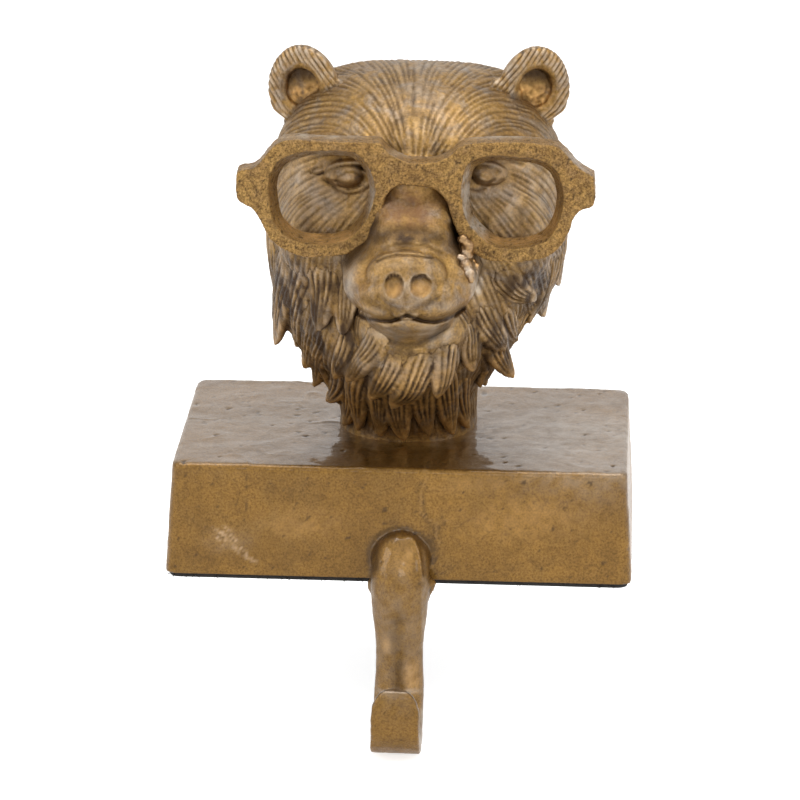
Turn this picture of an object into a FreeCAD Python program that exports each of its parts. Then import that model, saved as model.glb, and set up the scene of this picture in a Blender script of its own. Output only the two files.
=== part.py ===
import FreeCAD, Part
import math
import os

import Sketcher

# Mantel stocking holder: a drafted block with a J hook in one casting, a bear's head
# standing on it, spectacles brazed across the snout, and a felt sheet underneath.
# Millimetres. The origin is the middle of the felt's underside, which lies on the
# mantel shelf. +Z is up, -Y is the front, where the hook hangs, and +X is the viewer's right.

Vec = FreeCAD.Vector
doc = FreeCAD.newDocument("stocking_holder")

# Driving dimensions: alias, value, what it is
DIMENSIONS = (
    ("block_width", 110.0, "block, left to right at its foot"),
    ("block_depth", 66.0, "block, front to back at its foot"),
    ("block_height", 27.0, "block, foot to top face"),
    ("draft_angle", 3.5, "taper of the block's four sides, degrees"),
    ("block_edge", 1.2, "rounding of the block's top edges"),
    ("block_corner", 2.5, "rounding of the block's upright corners"),
    ("felt_thickness", 1.0, "felt under the block"),
    ("felt_inset", 1.0, "felt edge inside the block's foot"),
    ("hook_shift", 0.8, "hook, right of the block's middle"),
    ("hook_width", 11.6, "hook bar, side to side"),
    ("hook_thickness", 6.6, "hook bar, back to crown"),
    ("hook_flank", 2.6, "straight flank of the hook bar under its crown"),
    ("hook_drop", 37.0, "lowest point of the hook, below the shelf"),
    ("hook_mouth", 11.0, "clear gap between stem and lip"),
    ("hook_standoff", 1.5, "back of the stem in front of the block's foot"),
    ("boss_top", 11.4, "top of the boss above the shelf"),
    ("boss_width", 13.6, "boss, side to side"),
    ("boss_reach", 2.5, "boss root inside the block's front"),
    ("elbow_radius", 5.0, "turn of the bar from the boss into the stem"),
    ("lip_height", 18.6, "lip tip above the lowest point of the hook"),
    ("lip_thickness", 4.2, "lip, front to back"),
    ("lip_tip_width", 5.0, "lip, side to side at its arched tip"),
    ("neck_shift", 0.8, "neck and its screw, right of the block's middle"),
    ("neck_setback", 8.5, "neck and its screw, behind the block's middle"),
    ("head_shift", 2.0, "head, right of the block's middle"),
    ("head_height", 88.5, "neck seat to crown"),
    ("head_width", 69.0, "skull at the cheeks, side to side"),
    ("skull_front", 26.0, "skull in front of the block's middle"),
    ("skull_back", 33.0, "skull behind the block's middle"),
    ("snout_reach", 21.5, "nose tip in front of the skull"),
    ("snout_width", 31.5, "upper lips, side to side"),
    ("snout_rise", 67.4, "top of the snout's root above the neck seat"),
    ("snout_floor", 38.0, "underside of the upper lips above the neck seat"),
    ("snout_drop", 15.5, "fall of the snout from root to nose"),
    ("lip_radius", 8.6, "roundness of the upper lips"),
    ("nose_radius", 8.0, "roundness of the nose pad"),
    ("jaw_radius", 8.6, "roundness of the chin"),
    ("mouth_groove", 0.7, "groove of the mouth, radius"),
    ("nostril_radius", 2.3, "nostril"),
    ("nostril_spacing", 6.6, "nostril to nostril"),
    ("ear_spacing", 55.0, "ear centre to ear centre"),
    ("ear_rise", 81.2, "ear centre above the neck seat"),
    ("ear_radius", 9.7, "ear, outer edge"),
    ("ear_setback", 9.0, "ear centre behind the block's middle"),
    ("ear_thickness", 6.4, "ear, front to back"),
    ("ear_bowl", 7.6, "roundness of the ear's cup"),
    ("ear_toe", 18.0, "ear turned outwards, degrees"),
    ("eye_spacing", 31.4, "eye to eye"),
    ("eye_rise", 67.8, "eye above the neck seat"),
    ("eye_radius", 3.3, "eyeball"),
    ("socket_radius", 6.2, "eye socket"),
    ("lid_thickness", 0.9, "eyelid over the eyeball"),
    ("eye_slit", 3.6, "gap between the eyelids"),
    ("eye_tilt", 10.0, "outer corner of the eye below the inner, degrees"),
    ("lock_width", 9.4, "lock of the mane, side to side"),
    ("lock_thickness", 6.4, "lock of the mane, root to crown"),
    ("lock_crown", 5.4, "radius across a lock's back"),
    ("lock_rise", 2.3, "a lock's crown above the skull"),
    ("frame_shift", 3.0, "spectacles, right of the block's middle"),
    ("frame_rise", 64.9, "lens centre above the neck seat"),
    ("frame_depth", 6.0, "spectacles, front to back"),
    ("frame_back", 24.6, "back of the spectacles in front of the block's middle"),
    ("frame_width", 82.4, "spectacles over their end pieces"),
    ("lens_spacing", 43.6, "lens centre to lens centre"),
    ("lens_width", 23.4, "lens opening, side to side"),
    ("lens_height", 21.8, "lens opening, top to bottom"),
    ("rim_width", 3.1, "rim round a lens opening"),
    ("bridge_height", 5.5, "bridge over the snout, top to bottom"),
    ("bridge_drop", 5.0, "top of the bridge below the top of the rims"),
    ("end_height", 6.4, "end piece, top to bottom"),
    ("bead_radius", 1.9, "braze bead, across"),
    ("screw_diameter", 6.0, "neck screw's shank"),
    ("screw_head", 12.0, "neck screw's head, across"),
    ("screw_head_height", 3.6, "neck screw's head, along"),
    ("screw_grip", 12.0, "screw inside the neck"),
    ("screw_socket", 4.0, "hexagon key, across flats"),
    ("screw_clearance", 0.3, "screw hole round the shank in the block"),
    ("tap_clearance", 0.05, "tapped hole round the shank in the neck"),
    ("counterbore_depth", 7.0, "recess for the screw's head"),
    ("counterbore_gap", 1.0, "recess round the screw's head"),
)

sheet = doc.addObject("Spreadsheet::Sheet", "sizes")
for row, (alias, value, meaning) in enumerate(DIMENSIONS, start=1):
    sheet.set(f"A{row}", alias)
    sheet.set(f"B{row}", str(value))
    sheet.set(f"C{row}", meaning)
    sheet.setAlias(f"B{row}", alias)
doc.recompute()


def size(alias):
    """A driving dimension as a number."""
    return float(getattr(sheet, alias))


def bind(obj, **expressions):
    """Ties properties of an object to cells of the sheet."""
    for name, expression in expressions.items():
        obj.setExpression(name, expression)
    return obj


def bind_place(obj, x="0", y="0", z="0"):
    """Ties an object's position to cells of the sheet."""
    obj.setExpression("Placement.Base.x", x)
    obj.setExpression("Placement.Base.y", y)
    obj.setExpression("Placement.Base.z", z)
    return obj


def feature(name, shape):
    """A document object that holds a shape made by a formula."""
    obj = doc.addObject("Part::Feature", name)
    obj.Shape = shape
    return obj


def new_body(name):
    body = doc.addObject("PartDesign::Body", name)
    body.Label = name
    return body


def origin_plane(body, role):
    return next(f for f in body.Origin.OriginFeatures if f.Role == role)


def sketch_on(body, name, role, offset="0"):
    """A sketch on one of the body's planes, lifted along the plane's normal."""
    sketch = body.newObject("Sketcher::SketchObject", name)
    sketch.AttachmentSupport = [(origin_plane(body, role), "")]
    sketch.MapMode = "FlatFace"
    sketch.setExpression("AttachmentOffset.Base.z", offset)
    return sketch


def rectangle(sketch, width, depth, centre_y="0"):
    """A rectangle about the sketch's origin, its sides tied to the sheet."""
    corners = [Vec(-1, -1, 0), Vec(1, -1, 0), Vec(1, 1, 0), Vec(-1, 1, 0)]
    corners = [Vec(c.x * 10, c.y * 10, 0) for c in corners]
    for i, corner in enumerate(corners):
        sketch.addGeometry(Part.LineSegment(corner, corners[(i + 1) % 4]), False)
    for i in range(4):
        sketch.addConstraint(Sketcher.Constraint("Coincident", i, 2, (i + 1) % 4, 1))
    for i, kind in enumerate(("Horizontal", "Vertical", "Horizontal", "Vertical")):
        sketch.addConstraint(Sketcher.Constraint(kind, i))
    wide = sketch.addConstraint(Sketcher.Constraint("DistanceX", 0, 1, 0, 2, 20.0))
    deep = sketch.addConstraint(Sketcher.Constraint("DistanceY", 1, 1, 1, 2, 20.0))
    left = sketch.addConstraint(Sketcher.Constraint("DistanceX", 0, 1, -1, 1, 10.0))
    front = sketch.addConstraint(Sketcher.Constraint("DistanceY", 0, 1, -1, 1, 10.0))
    sketch.setExpression(f"Constraints[{wide}]", width)
    sketch.setExpression(f"Constraints[{deep}]", depth)
    sketch.setExpression(f"Constraints[{left}]", f"({width}) / 2")
    sketch.setExpression(f"Constraints[{front}]", f"({depth}) / 2 - ({centre_y})")
    return sketch


def circle(sketch, radius):
    """A circle about the sketch's origin, its radius tied to the sheet."""
    sketch.addGeometry(Part.Circle(Vec(0, 0, 0), Vec(0, 0, 1), 5.0), False)
    sketch.addConstraint(Sketcher.Constraint("Coincident", 0, 3, -1, 1))
    across = sketch.addConstraint(Sketcher.Constraint("Radius", 0, 5.0))
    sketch.setExpression(f"Constraints[{across}]", radius)
    return sketch


def outline(sketch, edges):
    """Draws a closed chain of lines and arcs and pins it where it is."""
    for edge in edges:
        sketch.addGeometry(edge, False)
    for i in range(len(edges)):
        following = (i + 1) % len(edges)
        sketch.addConstraint(Sketcher.Constraint("Coincident", i, 2, following, 1))
        sketch.addConstraint(Sketcher.Constraint("Block", i))
    return sketch


# Levels shared by the pieces
block_foot = size("felt_thickness")
block_top = block_foot + size("block_height")
NECK_SEAT = "sizes.felt_thickness + sizes.block_height"
draft = math.tan(math.radians(size("draft_angle")))


def block_front(height):
    """How far the block's front face stands before the origin at a height."""
    return size("block_depth") / 2 - draft * (height - block_foot)


# Felt sheet
felt = new_body("felt_pad")
felt_outline = rectangle(
    sketch_on(felt, "felt_outline", "XY_Plane"),
    "sizes.block_width - 2 * sizes.felt_inset",
    "sizes.block_depth - 2 * sizes.felt_inset",
)
felt_sheet = felt.newObject("PartDesign::Pad", "felt_sheet")
felt_sheet.Profile = felt_outline
bind(felt_sheet, Length="sizes.felt_thickness")
doc.recompute()


def bind_sketch_centre(sketch):
    """Sets a sketch over the neck screw's axis."""
    sketch.setExpression("AttachmentOffset.Base.x", "sizes.neck_shift")
    sketch.setExpression("AttachmentOffset.Base.y", "sizes.neck_setback")
    return sketch


def edges_along(shape, direction, keep=lambda edge: True):
    """Names of a shape's straight edges that run along a direction."""
    names = []
    for i, edge in enumerate(shape.Edges, start=1):
        if len(edge.Vertexes) < 2 or not keep(edge):
            continue
        run = edge.Vertexes[1].Point - edge.Vertexes[0].Point
        if run.Length > 0 and abs(run.normalize().dot(direction)) > 0.98:
            names.append(f"Edge{i}")
    return names


felt_corners = felt.newObject("PartDesign::Fillet", "felt_corners")
felt_corners.Base = (felt_sheet, edges_along(felt_sheet.Shape, Vec(0, 0, 1)))
bind(felt_corners, Radius="sizes.block_corner")
doc.recompute()

# Block with its drafted sides
base = new_body("base_casting")
foot_outline = rectangle(
    sketch_on(base, "foot_outline", "XY_Plane", "sizes.felt_thickness"),
    "sizes.block_width",
    "sizes.block_depth",
)
block = base.newObject("PartDesign::Pad", "block")
block.Profile = foot_outline
bind(block, Length="sizes.block_height", TaperAngle="-sizes.draft_angle")
doc.recompute()

upright_corners = base.newObject("PartDesign::Fillet", "upright_corners")
upright_corners.Base = (block, edges_along(block.Shape, Vec(0, 0, 1)))
bind(upright_corners, Radius="sizes.block_corner")
doc.recompute()


def edges_at_height(shape, height):
    """Names of the edges that lie whole at one height."""
    return [
        f"Edge{i}"
        for i, edge in enumerate(shape.Edges, start=1)
        if abs(edge.BoundBox.ZMin - height) < 0.01 and abs(edge.BoundBox.ZMax - height) < 0.01
    ]


top_edges = base.newObject("PartDesign::Fillet", "top_edges")
top_edges.Base = (upright_corners, edges_at_height(upright_corners.Shape, block_top))
bind(top_edges, Radius="sizes.block_edge")
doc.recompute()

# Hook: sections of the bar follow its line out of the block, down and round to the lip
bar = size("hook_thickness")
stem_back = size("block_depth") / 2 + size("hook_standoff")
stem_line = stem_back + bar / 2
bend = (size("hook_mouth") + bar) / 2
bend_level = -size("hook_drop") + bar / 2 + bend
lip_line = stem_line + size("hook_mouth") + (bar + size("lip_thickness")) / 2
lip_tip = -size("hook_drop") + size("lip_height")
boss_line = size("boss_top") - bar / 2
boss_root = block_front(boss_line) - size("boss_reach")
elbow = size("elbow_radius")


def bar_section(name, out, up, turn, width, thickness):
    """One section of the hook bar: flat back, straight flanks and an arched crown.

    out and up place its middle, and turn is the way the bar runs, in degrees: 0 is
    forwards, 90 is down and 180 is back to the block. The crown faces the mouth.
    """
    sketch = base.newObject("Sketcher::SketchObject", name)
    half = width / 2
    flank = min(size("hook_flank"), thickness * 0.5)
    back = -thickness / 2
    shoulder = back + flank
    crown = thickness / 2
    corners = [Vec(-half, back, 0), Vec(half, back, 0), Vec(half, shoulder, 0), Vec(-half, shoulder, 0)]
    outline(
        sketch,
        [
            Part.LineSegment(corners[0], corners[1]),
            Part.LineSegment(corners[1], corners[2]),
            Part.Arc(corners[2], Vec(0, crown, 0), corners[3]),
            Part.LineSegment(corners[3], corners[0]),
        ],
    )
    sketch.AttachmentSupport = [(origin_plane(base, "XY_Plane"), "")]
    sketch.MapMode = "FlatFace"
    tilt = FreeCAD.Rotation(Vec(1, 0, 0), turn + 90)
    place = Vec(size("hook_shift"), -out, up)
    sketch.AttachmentOffset = FreeCAD.Placement(place, tilt)
    return sketch


def around_bend(angle, line):
    """A point of the bar's line round the J, angle degrees past its lowest run in."""
    middle = stem_line + bend
    turn = math.radians(angle)
    return middle - bend * math.cos(turn) + line, bend_level - bend * math.sin(turn)


def around_elbow(angle):
    """A point of the bar's line on the turn into the stem, angle degrees past the boss."""
    turn = math.radians(angle)
    out = stem_line - elbow + elbow * math.sin(turn)
    return out, boss_line - elbow + elbow * math.cos(turn)


wide = size("hook_width")
lip = size("lip_thickness")
stem_run = boss_line - elbow - bend_level
neck_level = boss_line - elbow - stem_run * 0.36
stem_level = boss_line - elbow - stem_run * 0.7
mean_width = (wide + size("boss_width")) / 2
lip_shift = lip_line - stem_line - 2 * bend
hook_sections = [
    bar_section("boss_root_section", boss_root, boss_line, 0, size("boss_width"), bar),
    bar_section("elbow_section", *around_elbow(45), 45, size("boss_width"), bar * 1.04),
    bar_section("stem_root_section", *around_elbow(90), 90, size("boss_width"), bar * 1.06),
    bar_section("stem_neck_section", stem_line, neck_level, 90, mean_width, bar),
    bar_section("stem_section", stem_line, stem_level, 90, wide * 0.95, bar * 0.96),
    bar_section("bend_in_section", stem_line, bend_level, 90, wide, bar),
    bar_section("bend_first_section", *around_bend(45, 0), 45, wide, bar * 0.98),
    bar_section("bend_low_section", *around_bend(90, lip_shift / 2), 0, wide, bar * 0.94),
    bar_section("bend_last_section", *around_bend(135, lip_shift * 0.8), -45, wide, bar * 0.84),
    bar_section("lip_root_section", lip_line, bend_level, -90, wide * 0.97, lip * 1.15),
    bar_section("lip_section", lip_line, lip_tip - 2.6, -90, wide * 0.86, lip * 0.95),
    bar_section("lip_tip_section", lip_line, lip_tip, -90, size("lip_tip_width"), lip * 0.5),
]
doc.recompute()
hook = base.newObject("PartDesign::AdditiveLoft", "hook")
hook.Profile = hook_sections[0]
hook.Sections = hook_sections[1:]
hook.Ruled = False
doc.recompute()

# Recess and hole for the neck screw, from below
recess_outline = circle(
    sketch_on(base, "recess_outline", "XY_Plane", "sizes.felt_thickness"),
    "sizes.screw_head / 2 + sizes.counterbore_gap",
)
bind_sketch_centre(recess_outline)
recess = base.newObject("PartDesign::Pocket", "recess")
recess.Profile = recess_outline
recess.Reversed = True
bind(recess, Length="sizes.counterbore_depth")
doc.recompute()
hole_outline = circle(
    sketch_on(base, "hole_outline", "XY_Plane", "sizes.felt_thickness"),
    "sizes.screw_diameter / 2 + sizes.screw_clearance",
)
bind_sketch_centre(hole_outline)
screw_hole = base.newObject("PartDesign::Pocket", "screw_hole")
screw_hole.Profile = hole_outline
screw_hole.Reversed = True
bind(screw_hole, Length="sizes.block_height")
doc.recompute()

# Neck screw: head in the recess, shank up into the neck
screw = new_body("neck_screw")
SCREW_SEAT = "sizes.felt_thickness + sizes.counterbore_depth"
shank_sketch = sketch_on(screw, "shank_outline", "XY_Plane", SCREW_SEAT)
shank_outline = circle(shank_sketch, "sizes.screw_diameter / 2")
bind_sketch_centre(shank_outline)
shank = screw.newObject("PartDesign::Pad", "shank")
shank.Profile = shank_outline
bind(shank, Length="sizes.block_height - sizes.counterbore_depth + sizes.screw_grip")
doc.recompute()
head_outline = circle(sketch_on(screw, "head_outline", "XY_Plane", SCREW_SEAT), "sizes.screw_head / 2")
bind_sketch_centre(head_outline)
screw_cap = screw.newObject("PartDesign::Pad", "screw_cap")
screw_cap.Profile = head_outline
screw_cap.Reversed = True
bind(screw_cap, Length="sizes.screw_head_height")
doc.recompute()
socket_outline = screw.newObject("Sketcher::SketchObject", "socket_outline")
across_corners = size("screw_socket") / math.sqrt(3)
hexagon = []
for corner in range(6):
    turn = corner * math.pi / 3
    hexagon.append(Vec(across_corners * math.cos(turn), across_corners * math.sin(turn), 0))
outline(socket_outline, [Part.LineSegment(hexagon[k], hexagon[(k + 1) % 6]) for k in range(6)])
socket_outline.AttachmentSupport = [(origin_plane(screw, "XY_Plane"), "")]
socket_outline.MapMode = "FlatFace"
socket_outline.setExpression("AttachmentOffset.Base.z", SCREW_SEAT + " - sizes.screw_head_height")
bind_sketch_centre(socket_outline)
socket = screw.newObject("PartDesign::Pocket", "socket")
socket.Profile = socket_outline
socket.Reversed = True
bind(socket, Length="sizes.screw_head_height / 2")
doc.recompute()


def rounded_loop(half_width, half_height, top_power, foot_power, spread, count=12):
    """Points of a rounded box outline: sharper corners above, rounder and narrower below."""
    points = []
    for k in range(count):
        turn = 2 * math.pi * k / count
        across, along = math.cos(turn), math.sin(turn)
        power = 2 / (top_power if along > 0 else foot_power)
        z = half_height * math.copysign(abs(along) ** power, along)
        x = half_width * math.copysign(abs(across) ** power, across)
        points.append(Vec(x * (1 + spread * z / half_height), z, 0))
    return points


def smooth_loop(points):
    """A closed smooth curve through points."""
    curve = Part.BSplineCurve()
    curve.interpolate(Points=points, PeriodicFlag=True)
    return curve


def upright_sketch(body, name, x, out, z, edges):
    """A sketch in an upright plane that faces the viewer, out millimetres before the origin."""
    sketch = body.newObject("Sketcher::SketchObject", name)
    outline(sketch, edges)
    sketch.AttachmentSupport = [(origin_plane(body, "XY_Plane"), "")]
    sketch.MapMode = "FlatFace"
    sketch.AttachmentOffset = FreeCAD.Placement(Vec(0, 0, 0), FreeCAD.Rotation(Vec(1, 0, 0), 90))
    sketch.setExpression("AttachmentOffset.Base.x", x)
    sketch.setExpression("AttachmentOffset.Base.y", out)
    sketch.setExpression("AttachmentOffset.Base.z", z)
    return sketch


def polygon(points):
    return [Part.LineSegment(points[k], points[(k + 1) % len(points)]) for k in range(len(points))]


# Spectacles: rims, bridge and end pieces in one thick plate, no side arms
frame = new_body("spectacles")
FRAME_BACK = "-sizes.frame_back"
FRAME_LEVEL = NECK_SEAT + " + sizes.frame_rise"
LENS_X = "sizes.frame_shift + sizes.lens_spacing / 2"
rim_points = rounded_loop(
    size("lens_width") / 2 + size("rim_width"), size("lens_height") / 2 + size("rim_width"), 3.6, 2.5, 0.05
)
lens_points = rounded_loop(size("lens_width") / 2, size("lens_height") / 2, 3.4, 2.5, 0.05)
rim_top = size("lens_height") / 2 + size("rim_width")
rim_outline = upright_sketch(
    frame, "rim_outline", LENS_X, FRAME_BACK, FRAME_LEVEL, [smooth_loop(rim_points)]
)
rim = frame.newObject("PartDesign::Pad", "rim")
rim.Profile = rim_outline
bind(rim, Length="sizes.frame_depth")
doc.recompute()
bridge_top = rim_top - size("bridge_drop")
bridge_foot = bridge_top - size("bridge_height")
lens_x = size("lens_spacing") / 2
brow = [
    Vec(-1, bridge_foot, 0),
    Vec(3, bridge_foot, 0),
    Vec(lens_x - size("lens_width") / 2 - 1, bridge_foot - 7, 0),
    Vec(lens_x - size("lens_width") / 2 - 1, rim_top - 2, 0),
    Vec(lens_x - size("lens_width") / 4, rim_top - 1, 0),
    Vec(lens_x - size("lens_width") / 3, rim_top, 0),
    Vec(7.6, rim_top - 1.0, 0),
    Vec(4.5, bridge_top + 0.7, 0),
    Vec(-1, bridge_top, 0),
]
bridge_outline = upright_sketch(
    frame, "bridge_outline", "sizes.frame_shift", FRAME_BACK, FRAME_LEVEL, polygon(brow)
)
bridge = frame.newObject("PartDesign::Pad", "bridge")
bridge.Profile = bridge_outline
bind(bridge, Length="sizes.frame_depth")
doc.recompute()
end_x = size("frame_width") / 2
end_top = rim_top - 7.8
end_foot = end_top - size("end_height")
end_points = [
    Vec(end_x - 7.5, end_foot - 2.6, 0),
    Vec(end_x - 2.6, end_foot - 1.3, 0),
    Vec(end_x, end_foot, 0),
    Vec(end_x, end_top, 0),
    Vec(end_x - 3.2, end_top + 1.3, 0),
    Vec(end_x - 7.2, end_top + 5.0, 0),
]
end_outline = upright_sketch(
    frame, "end_outline", "sizes.frame_shift", FRAME_BACK, FRAME_LEVEL, polygon(end_points)
)
end_piece = frame.newObject("PartDesign::Pad", "end_piece")
end_piece.Profile = end_outline
bind(end_piece, Length="sizes.frame_depth")
doc.recompute()
lens_outline = upright_sketch(
    frame, "lens_outline", LENS_X, FRAME_BACK, FRAME_LEVEL, [smooth_loop(lens_points)]
)
lens_opening = frame.newObject("PartDesign::Pocket", "lens_opening")
lens_opening.Profile = lens_outline
lens_opening.Reversed = True
bind(lens_opening, Length="sizes.frame_depth")
doc.recompute()
mirror_line = upright_sketch(
    frame, "mirror_line", "sizes.frame_shift", "0", FRAME_LEVEL,
    polygon([Vec(0, 0, 0), Vec(1, 0, 0), Vec(1, 1, 0)])
)
other_half = frame.newObject("PartDesign::Mirrored", "other_half")
other_half.Originals = [rim, bridge, end_piece, lens_opening]
other_half.MirrorPlane = (mirror_line, ["V_Axis"])
frame.Tip = other_half
doc.recompute()

# Skull: height, half width, front and back, as parts of the head's own sizes
SKULL_LEVELS = (
    (0.000, 0.482, 0.300, 0.750),
    (0.110, 0.545, 0.500, 0.830),
    (0.210, 0.650, 0.720, 0.900),
    (0.320, 0.800, 0.890, 0.955),
    (0.430, 0.910, 0.975, 0.990),
    (0.560, 0.962, 0.990, 1.010),
    (0.690, 0.960, 0.955, 1.010),
    (0.790, 0.938, 0.910, 0.985),
    (0.865, 0.890, 0.840, 0.930),
    (0.920, 0.800, 0.710, 0.840),
    (0.962, 0.640, 0.480, 0.680),
    (0.988, 0.430, 0.200, 0.450),
)
head_height = size("head_height")


def between(value, low, high):
    return max(low, min(high, value))


def skull_at(part):
    """Half width, front, back and sideways shift of the skull at a part of its height."""
    for low, high in zip(SKULL_LEVELS, SKULL_LEVELS[1:]):
        if part <= high[0]:
            break
    blend = between((part - low[0]) / (high[0] - low[0]), 0.0, 1.0)
    half, front, back = (low[k] + blend * (high[k] - low[k]) for k in (1, 2, 3))
    lean = between(part / 0.45, 0.0, 1.0)
    shift = size("neck_shift") + lean * (size("head_shift") - size("neck_shift"))
    return half * size("head_width") / 2, front * size("skull_front"), back * size("skull_back"), shift


def skull_loop(part, count=12, power=2.3):
    """A closed curve round the skull at a part of its height, begun at the back."""
    half, front, back, shift = skull_at(part)
    points = []
    for k in range(count):
        turn = 2 * math.pi * k / count + math.pi / 2
        across, along = math.cos(turn), math.sin(turn)
        x = shift + half * math.copysign(abs(across) ** (2 / power), across)
        depth = (front + back) / 2 * math.copysign(abs(along) ** (2 / power), along)
        points.append(Vec(x, (back - front) / 2 + depth, 0))
    return points


skull_body = doc.addObject("PartDesign::Body", "skull_body")
skull_sections = []
for number, level in enumerate(SKULL_LEVELS):
    section = skull_body.newObject("Sketcher::SketchObject", f"skull_section_{number}")
    outline(section, [smooth_loop(skull_loop(level[0]))])
    section.AttachmentSupport = [(origin_plane(skull_body, "XY_Plane"), "")]
    section.MapMode = "FlatFace"
    section.setExpression("AttachmentOffset.Base.z", f"{NECK_SEAT} + {level[0]} * sizes.head_height")
    skull_sections.append(section)
doc.recompute()
skull = skull_body.newObject("PartDesign::AdditiveLoft", "skull")
skull.Profile = skull_sections[0]
skull.Sections = skull_sections[1:]
skull.Ruled = True
doc.recompute()

# Snout: distance in front of the skull, half width, top and foot, as parts of its sizes
SNOUT_LEVELS = (
    (-0.35, 1.00, 0.04, 0.00),
    (0.18, 1.00, 0.06, -0.01),
    (0.48, 0.96, 0.30, 0.02),
    (0.76, 0.80, 0.62, 0.07),
    (0.94, 0.50, 0.88, 0.16),
)
snout_body = doc.addObject("PartDesign::Body", "snout_body")
snout_sections = []
for number, (reach, half, fall, lift) in enumerate(SNOUT_LEVELS):
    top = size("snout_rise") - fall * size("snout_drop")
    foot = size("snout_floor") + lift * size("snout_drop") * 2
    loop = rounded_loop(half * size("snout_width") * 0.42, (top - foot) / 2, 2.0, 2.8, -0.38, 12)
    middle = f"{NECK_SEAT} + {(top + foot) / 2}"
    out = f"-sizes.skull_front - {reach} * sizes.snout_reach"
    snout_sections.append(
        upright_sketch(
            snout_body, f"snout_section_{number}", "sizes.head_shift", out, middle, [smooth_loop(loop)]
        )
    )
doc.recompute()
snout = snout_body.newObject("PartDesign::AdditiveLoft", "snout")
snout.Profile = snout_sections[0]
snout.Sections = snout_sections[1:]
doc.recompute()


def join(name, parts):
    joined = doc.addObject("Part::MultiFuse", name)
    joined.Shapes = parts
    joined.Refine = False
    return joined


def take_away(name, kept, taken):
    cut = doc.addObject("Part::Cut", name)
    cut.Base = kept
    cut.Tool = taken
    cut.Refine = False
    return cut


def ball(name, x, y, z, radius):
    obj = doc.addObject("Part::Sphere", name)
    bind(obj, Radius=radius)
    return bind_place(obj, x, y, z)


def facing(toe):
    """A turn that points an object's own axis to the front and toe degrees to one side."""
    return FreeCAD.Rotation(Vec(0, 0, 1), toe).multiply(FreeCAD.Rotation(Vec(1, 0, 0), 90))


EYE_LEVEL = NECK_SEAT + " + sizes.eye_rise"
EAR_LEVEL = NECK_SEAT + " + sizes.ear_rise"
LIP_LEVEL = NECK_SEAT + " + sizes.snout_floor"
NOSE_OUT = "-sizes.skull_front - sizes.snout_reach"
EYE_OUT = "-sizes.skull_front * 0.76"
SOCKET_OUT = "-sizes.skull_front * 0.97"
JAW_OUT = "-sizes.skull_front - sizes.snout_reach * 0.32"
MOUTH_OUT = "-sizes.skull_front - sizes.snout_reach * 0.2"
solids = [skull_body, snout_body]
hollows = []
late_solids = []
for side, tag in ((-1, "left"), (1, "right")):
    ear_x = f"sizes.head_shift + {side} * sizes.ear_spacing / 2"
    toe = facing(side * size("ear_toe"))
    ear_round = ball(f"ear_round_{tag}", "0", "0", "0", "sizes.ear_radius")
    ear_slab = doc.addObject("Part::Cylinder", f"ear_slab_{tag}")
    bind(ear_slab, Radius="sizes.ear_radius * 1.2", Height="sizes.ear_thickness")
    bind_place(ear_slab, "0", "0", "-sizes.ear_thickness / 2")
    bowl_centre = "sizes.ear_thickness / 2 + sizes.ear_bowl * 0.68"
    ear_bowl = ball(f"ear_bowl_{tag}", "0", "0", bowl_centre, "sizes.ear_bowl")
    ear_disc = doc.addObject("Part::MultiCommon", f"ear_disc_{tag}")
    ear_disc.Shapes = [ear_round, ear_slab]
    ear = take_away(f"ear_{tag}", ear_disc, ear_bowl)
    ear.Placement = FreeCAD.Placement(Vec(0, 0, 0), toe)
    solids.append(bind_place(ear, ear_x, "sizes.ear_setback", EAR_LEVEL))
    eye_x = f"sizes.frame_shift + {side} * sizes.eye_spacing / 2"
    hollows.append(ball(f"socket_{tag}", eye_x, SOCKET_OUT, EYE_LEVEL, "sizes.socket_radius"))
    late_solids.append(ball(f"eye_{tag}", eye_x, EYE_OUT, EYE_LEVEL, "sizes.eye_radius"))
    lid_ball = ball(f"lid_ball_{tag}", "0", "0", "0", "sizes.eye_radius + sizes.lid_thickness")
    lid_slot = doc.addObject("Part::Box", f"lid_slot_{tag}")
    bind(lid_slot, Length="sizes.eye_radius * 4", Width="sizes.eye_radius * 2", Height="sizes.eye_slit")
    bind_place(lid_slot, "-sizes.eye_radius * 2", "-sizes.eye_radius * 2", "-sizes.eye_slit * 0.6")
    lids = take_away(f"eyelids_{tag}", lid_ball, lid_slot)
    lid_tilt = FreeCAD.Rotation(Vec(0, 1, 0), side * size("eye_tilt"))
    lids.Placement = FreeCAD.Placement(Vec(0, 0, 0), lid_tilt)
    late_solids.append(bind_place(lids, eye_x, EYE_OUT, EYE_LEVEL))
    solids.append(
        ball(
            f"upper_lip_{tag}",
            f"sizes.head_shift + {side} * sizes.snout_width * 0.22",
            "-sizes.skull_front - sizes.snout_reach * 0.44",
            LIP_LEVEL + " + sizes.lip_radius * 0.84",
            "sizes.lip_radius",
        )
    )
    hollows.append(
        ball(
            f"nostril_{tag}",
            f"sizes.head_shift + {side} * sizes.nostril_spacing / 2",
            NOSE_OUT + " + 0.6",
            LIP_LEVEL + " + sizes.snout_drop * 0.8",
            "sizes.nostril_radius",
        )
    )
solids.append(
    ball(
        "nose_pad",
        "sizes.head_shift",
        NOSE_OUT + " + sizes.nose_radius",
        LIP_LEVEL + " + sizes.snout_drop * 0.74",
        "sizes.nose_radius",
    )
)
solids.append(ball("jaw", "sizes.head_shift", JAW_OUT, LIP_LEVEL + " + 0.6", "sizes.jaw_radius"))
mouth_radii = (
    ("mouth_outer", "sizes.snout_width * 0.62"),
    ("mouth_inner", "sizes.snout_width / 2 - sizes.mouth_groove"),
)
mouth_discs = []
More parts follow.
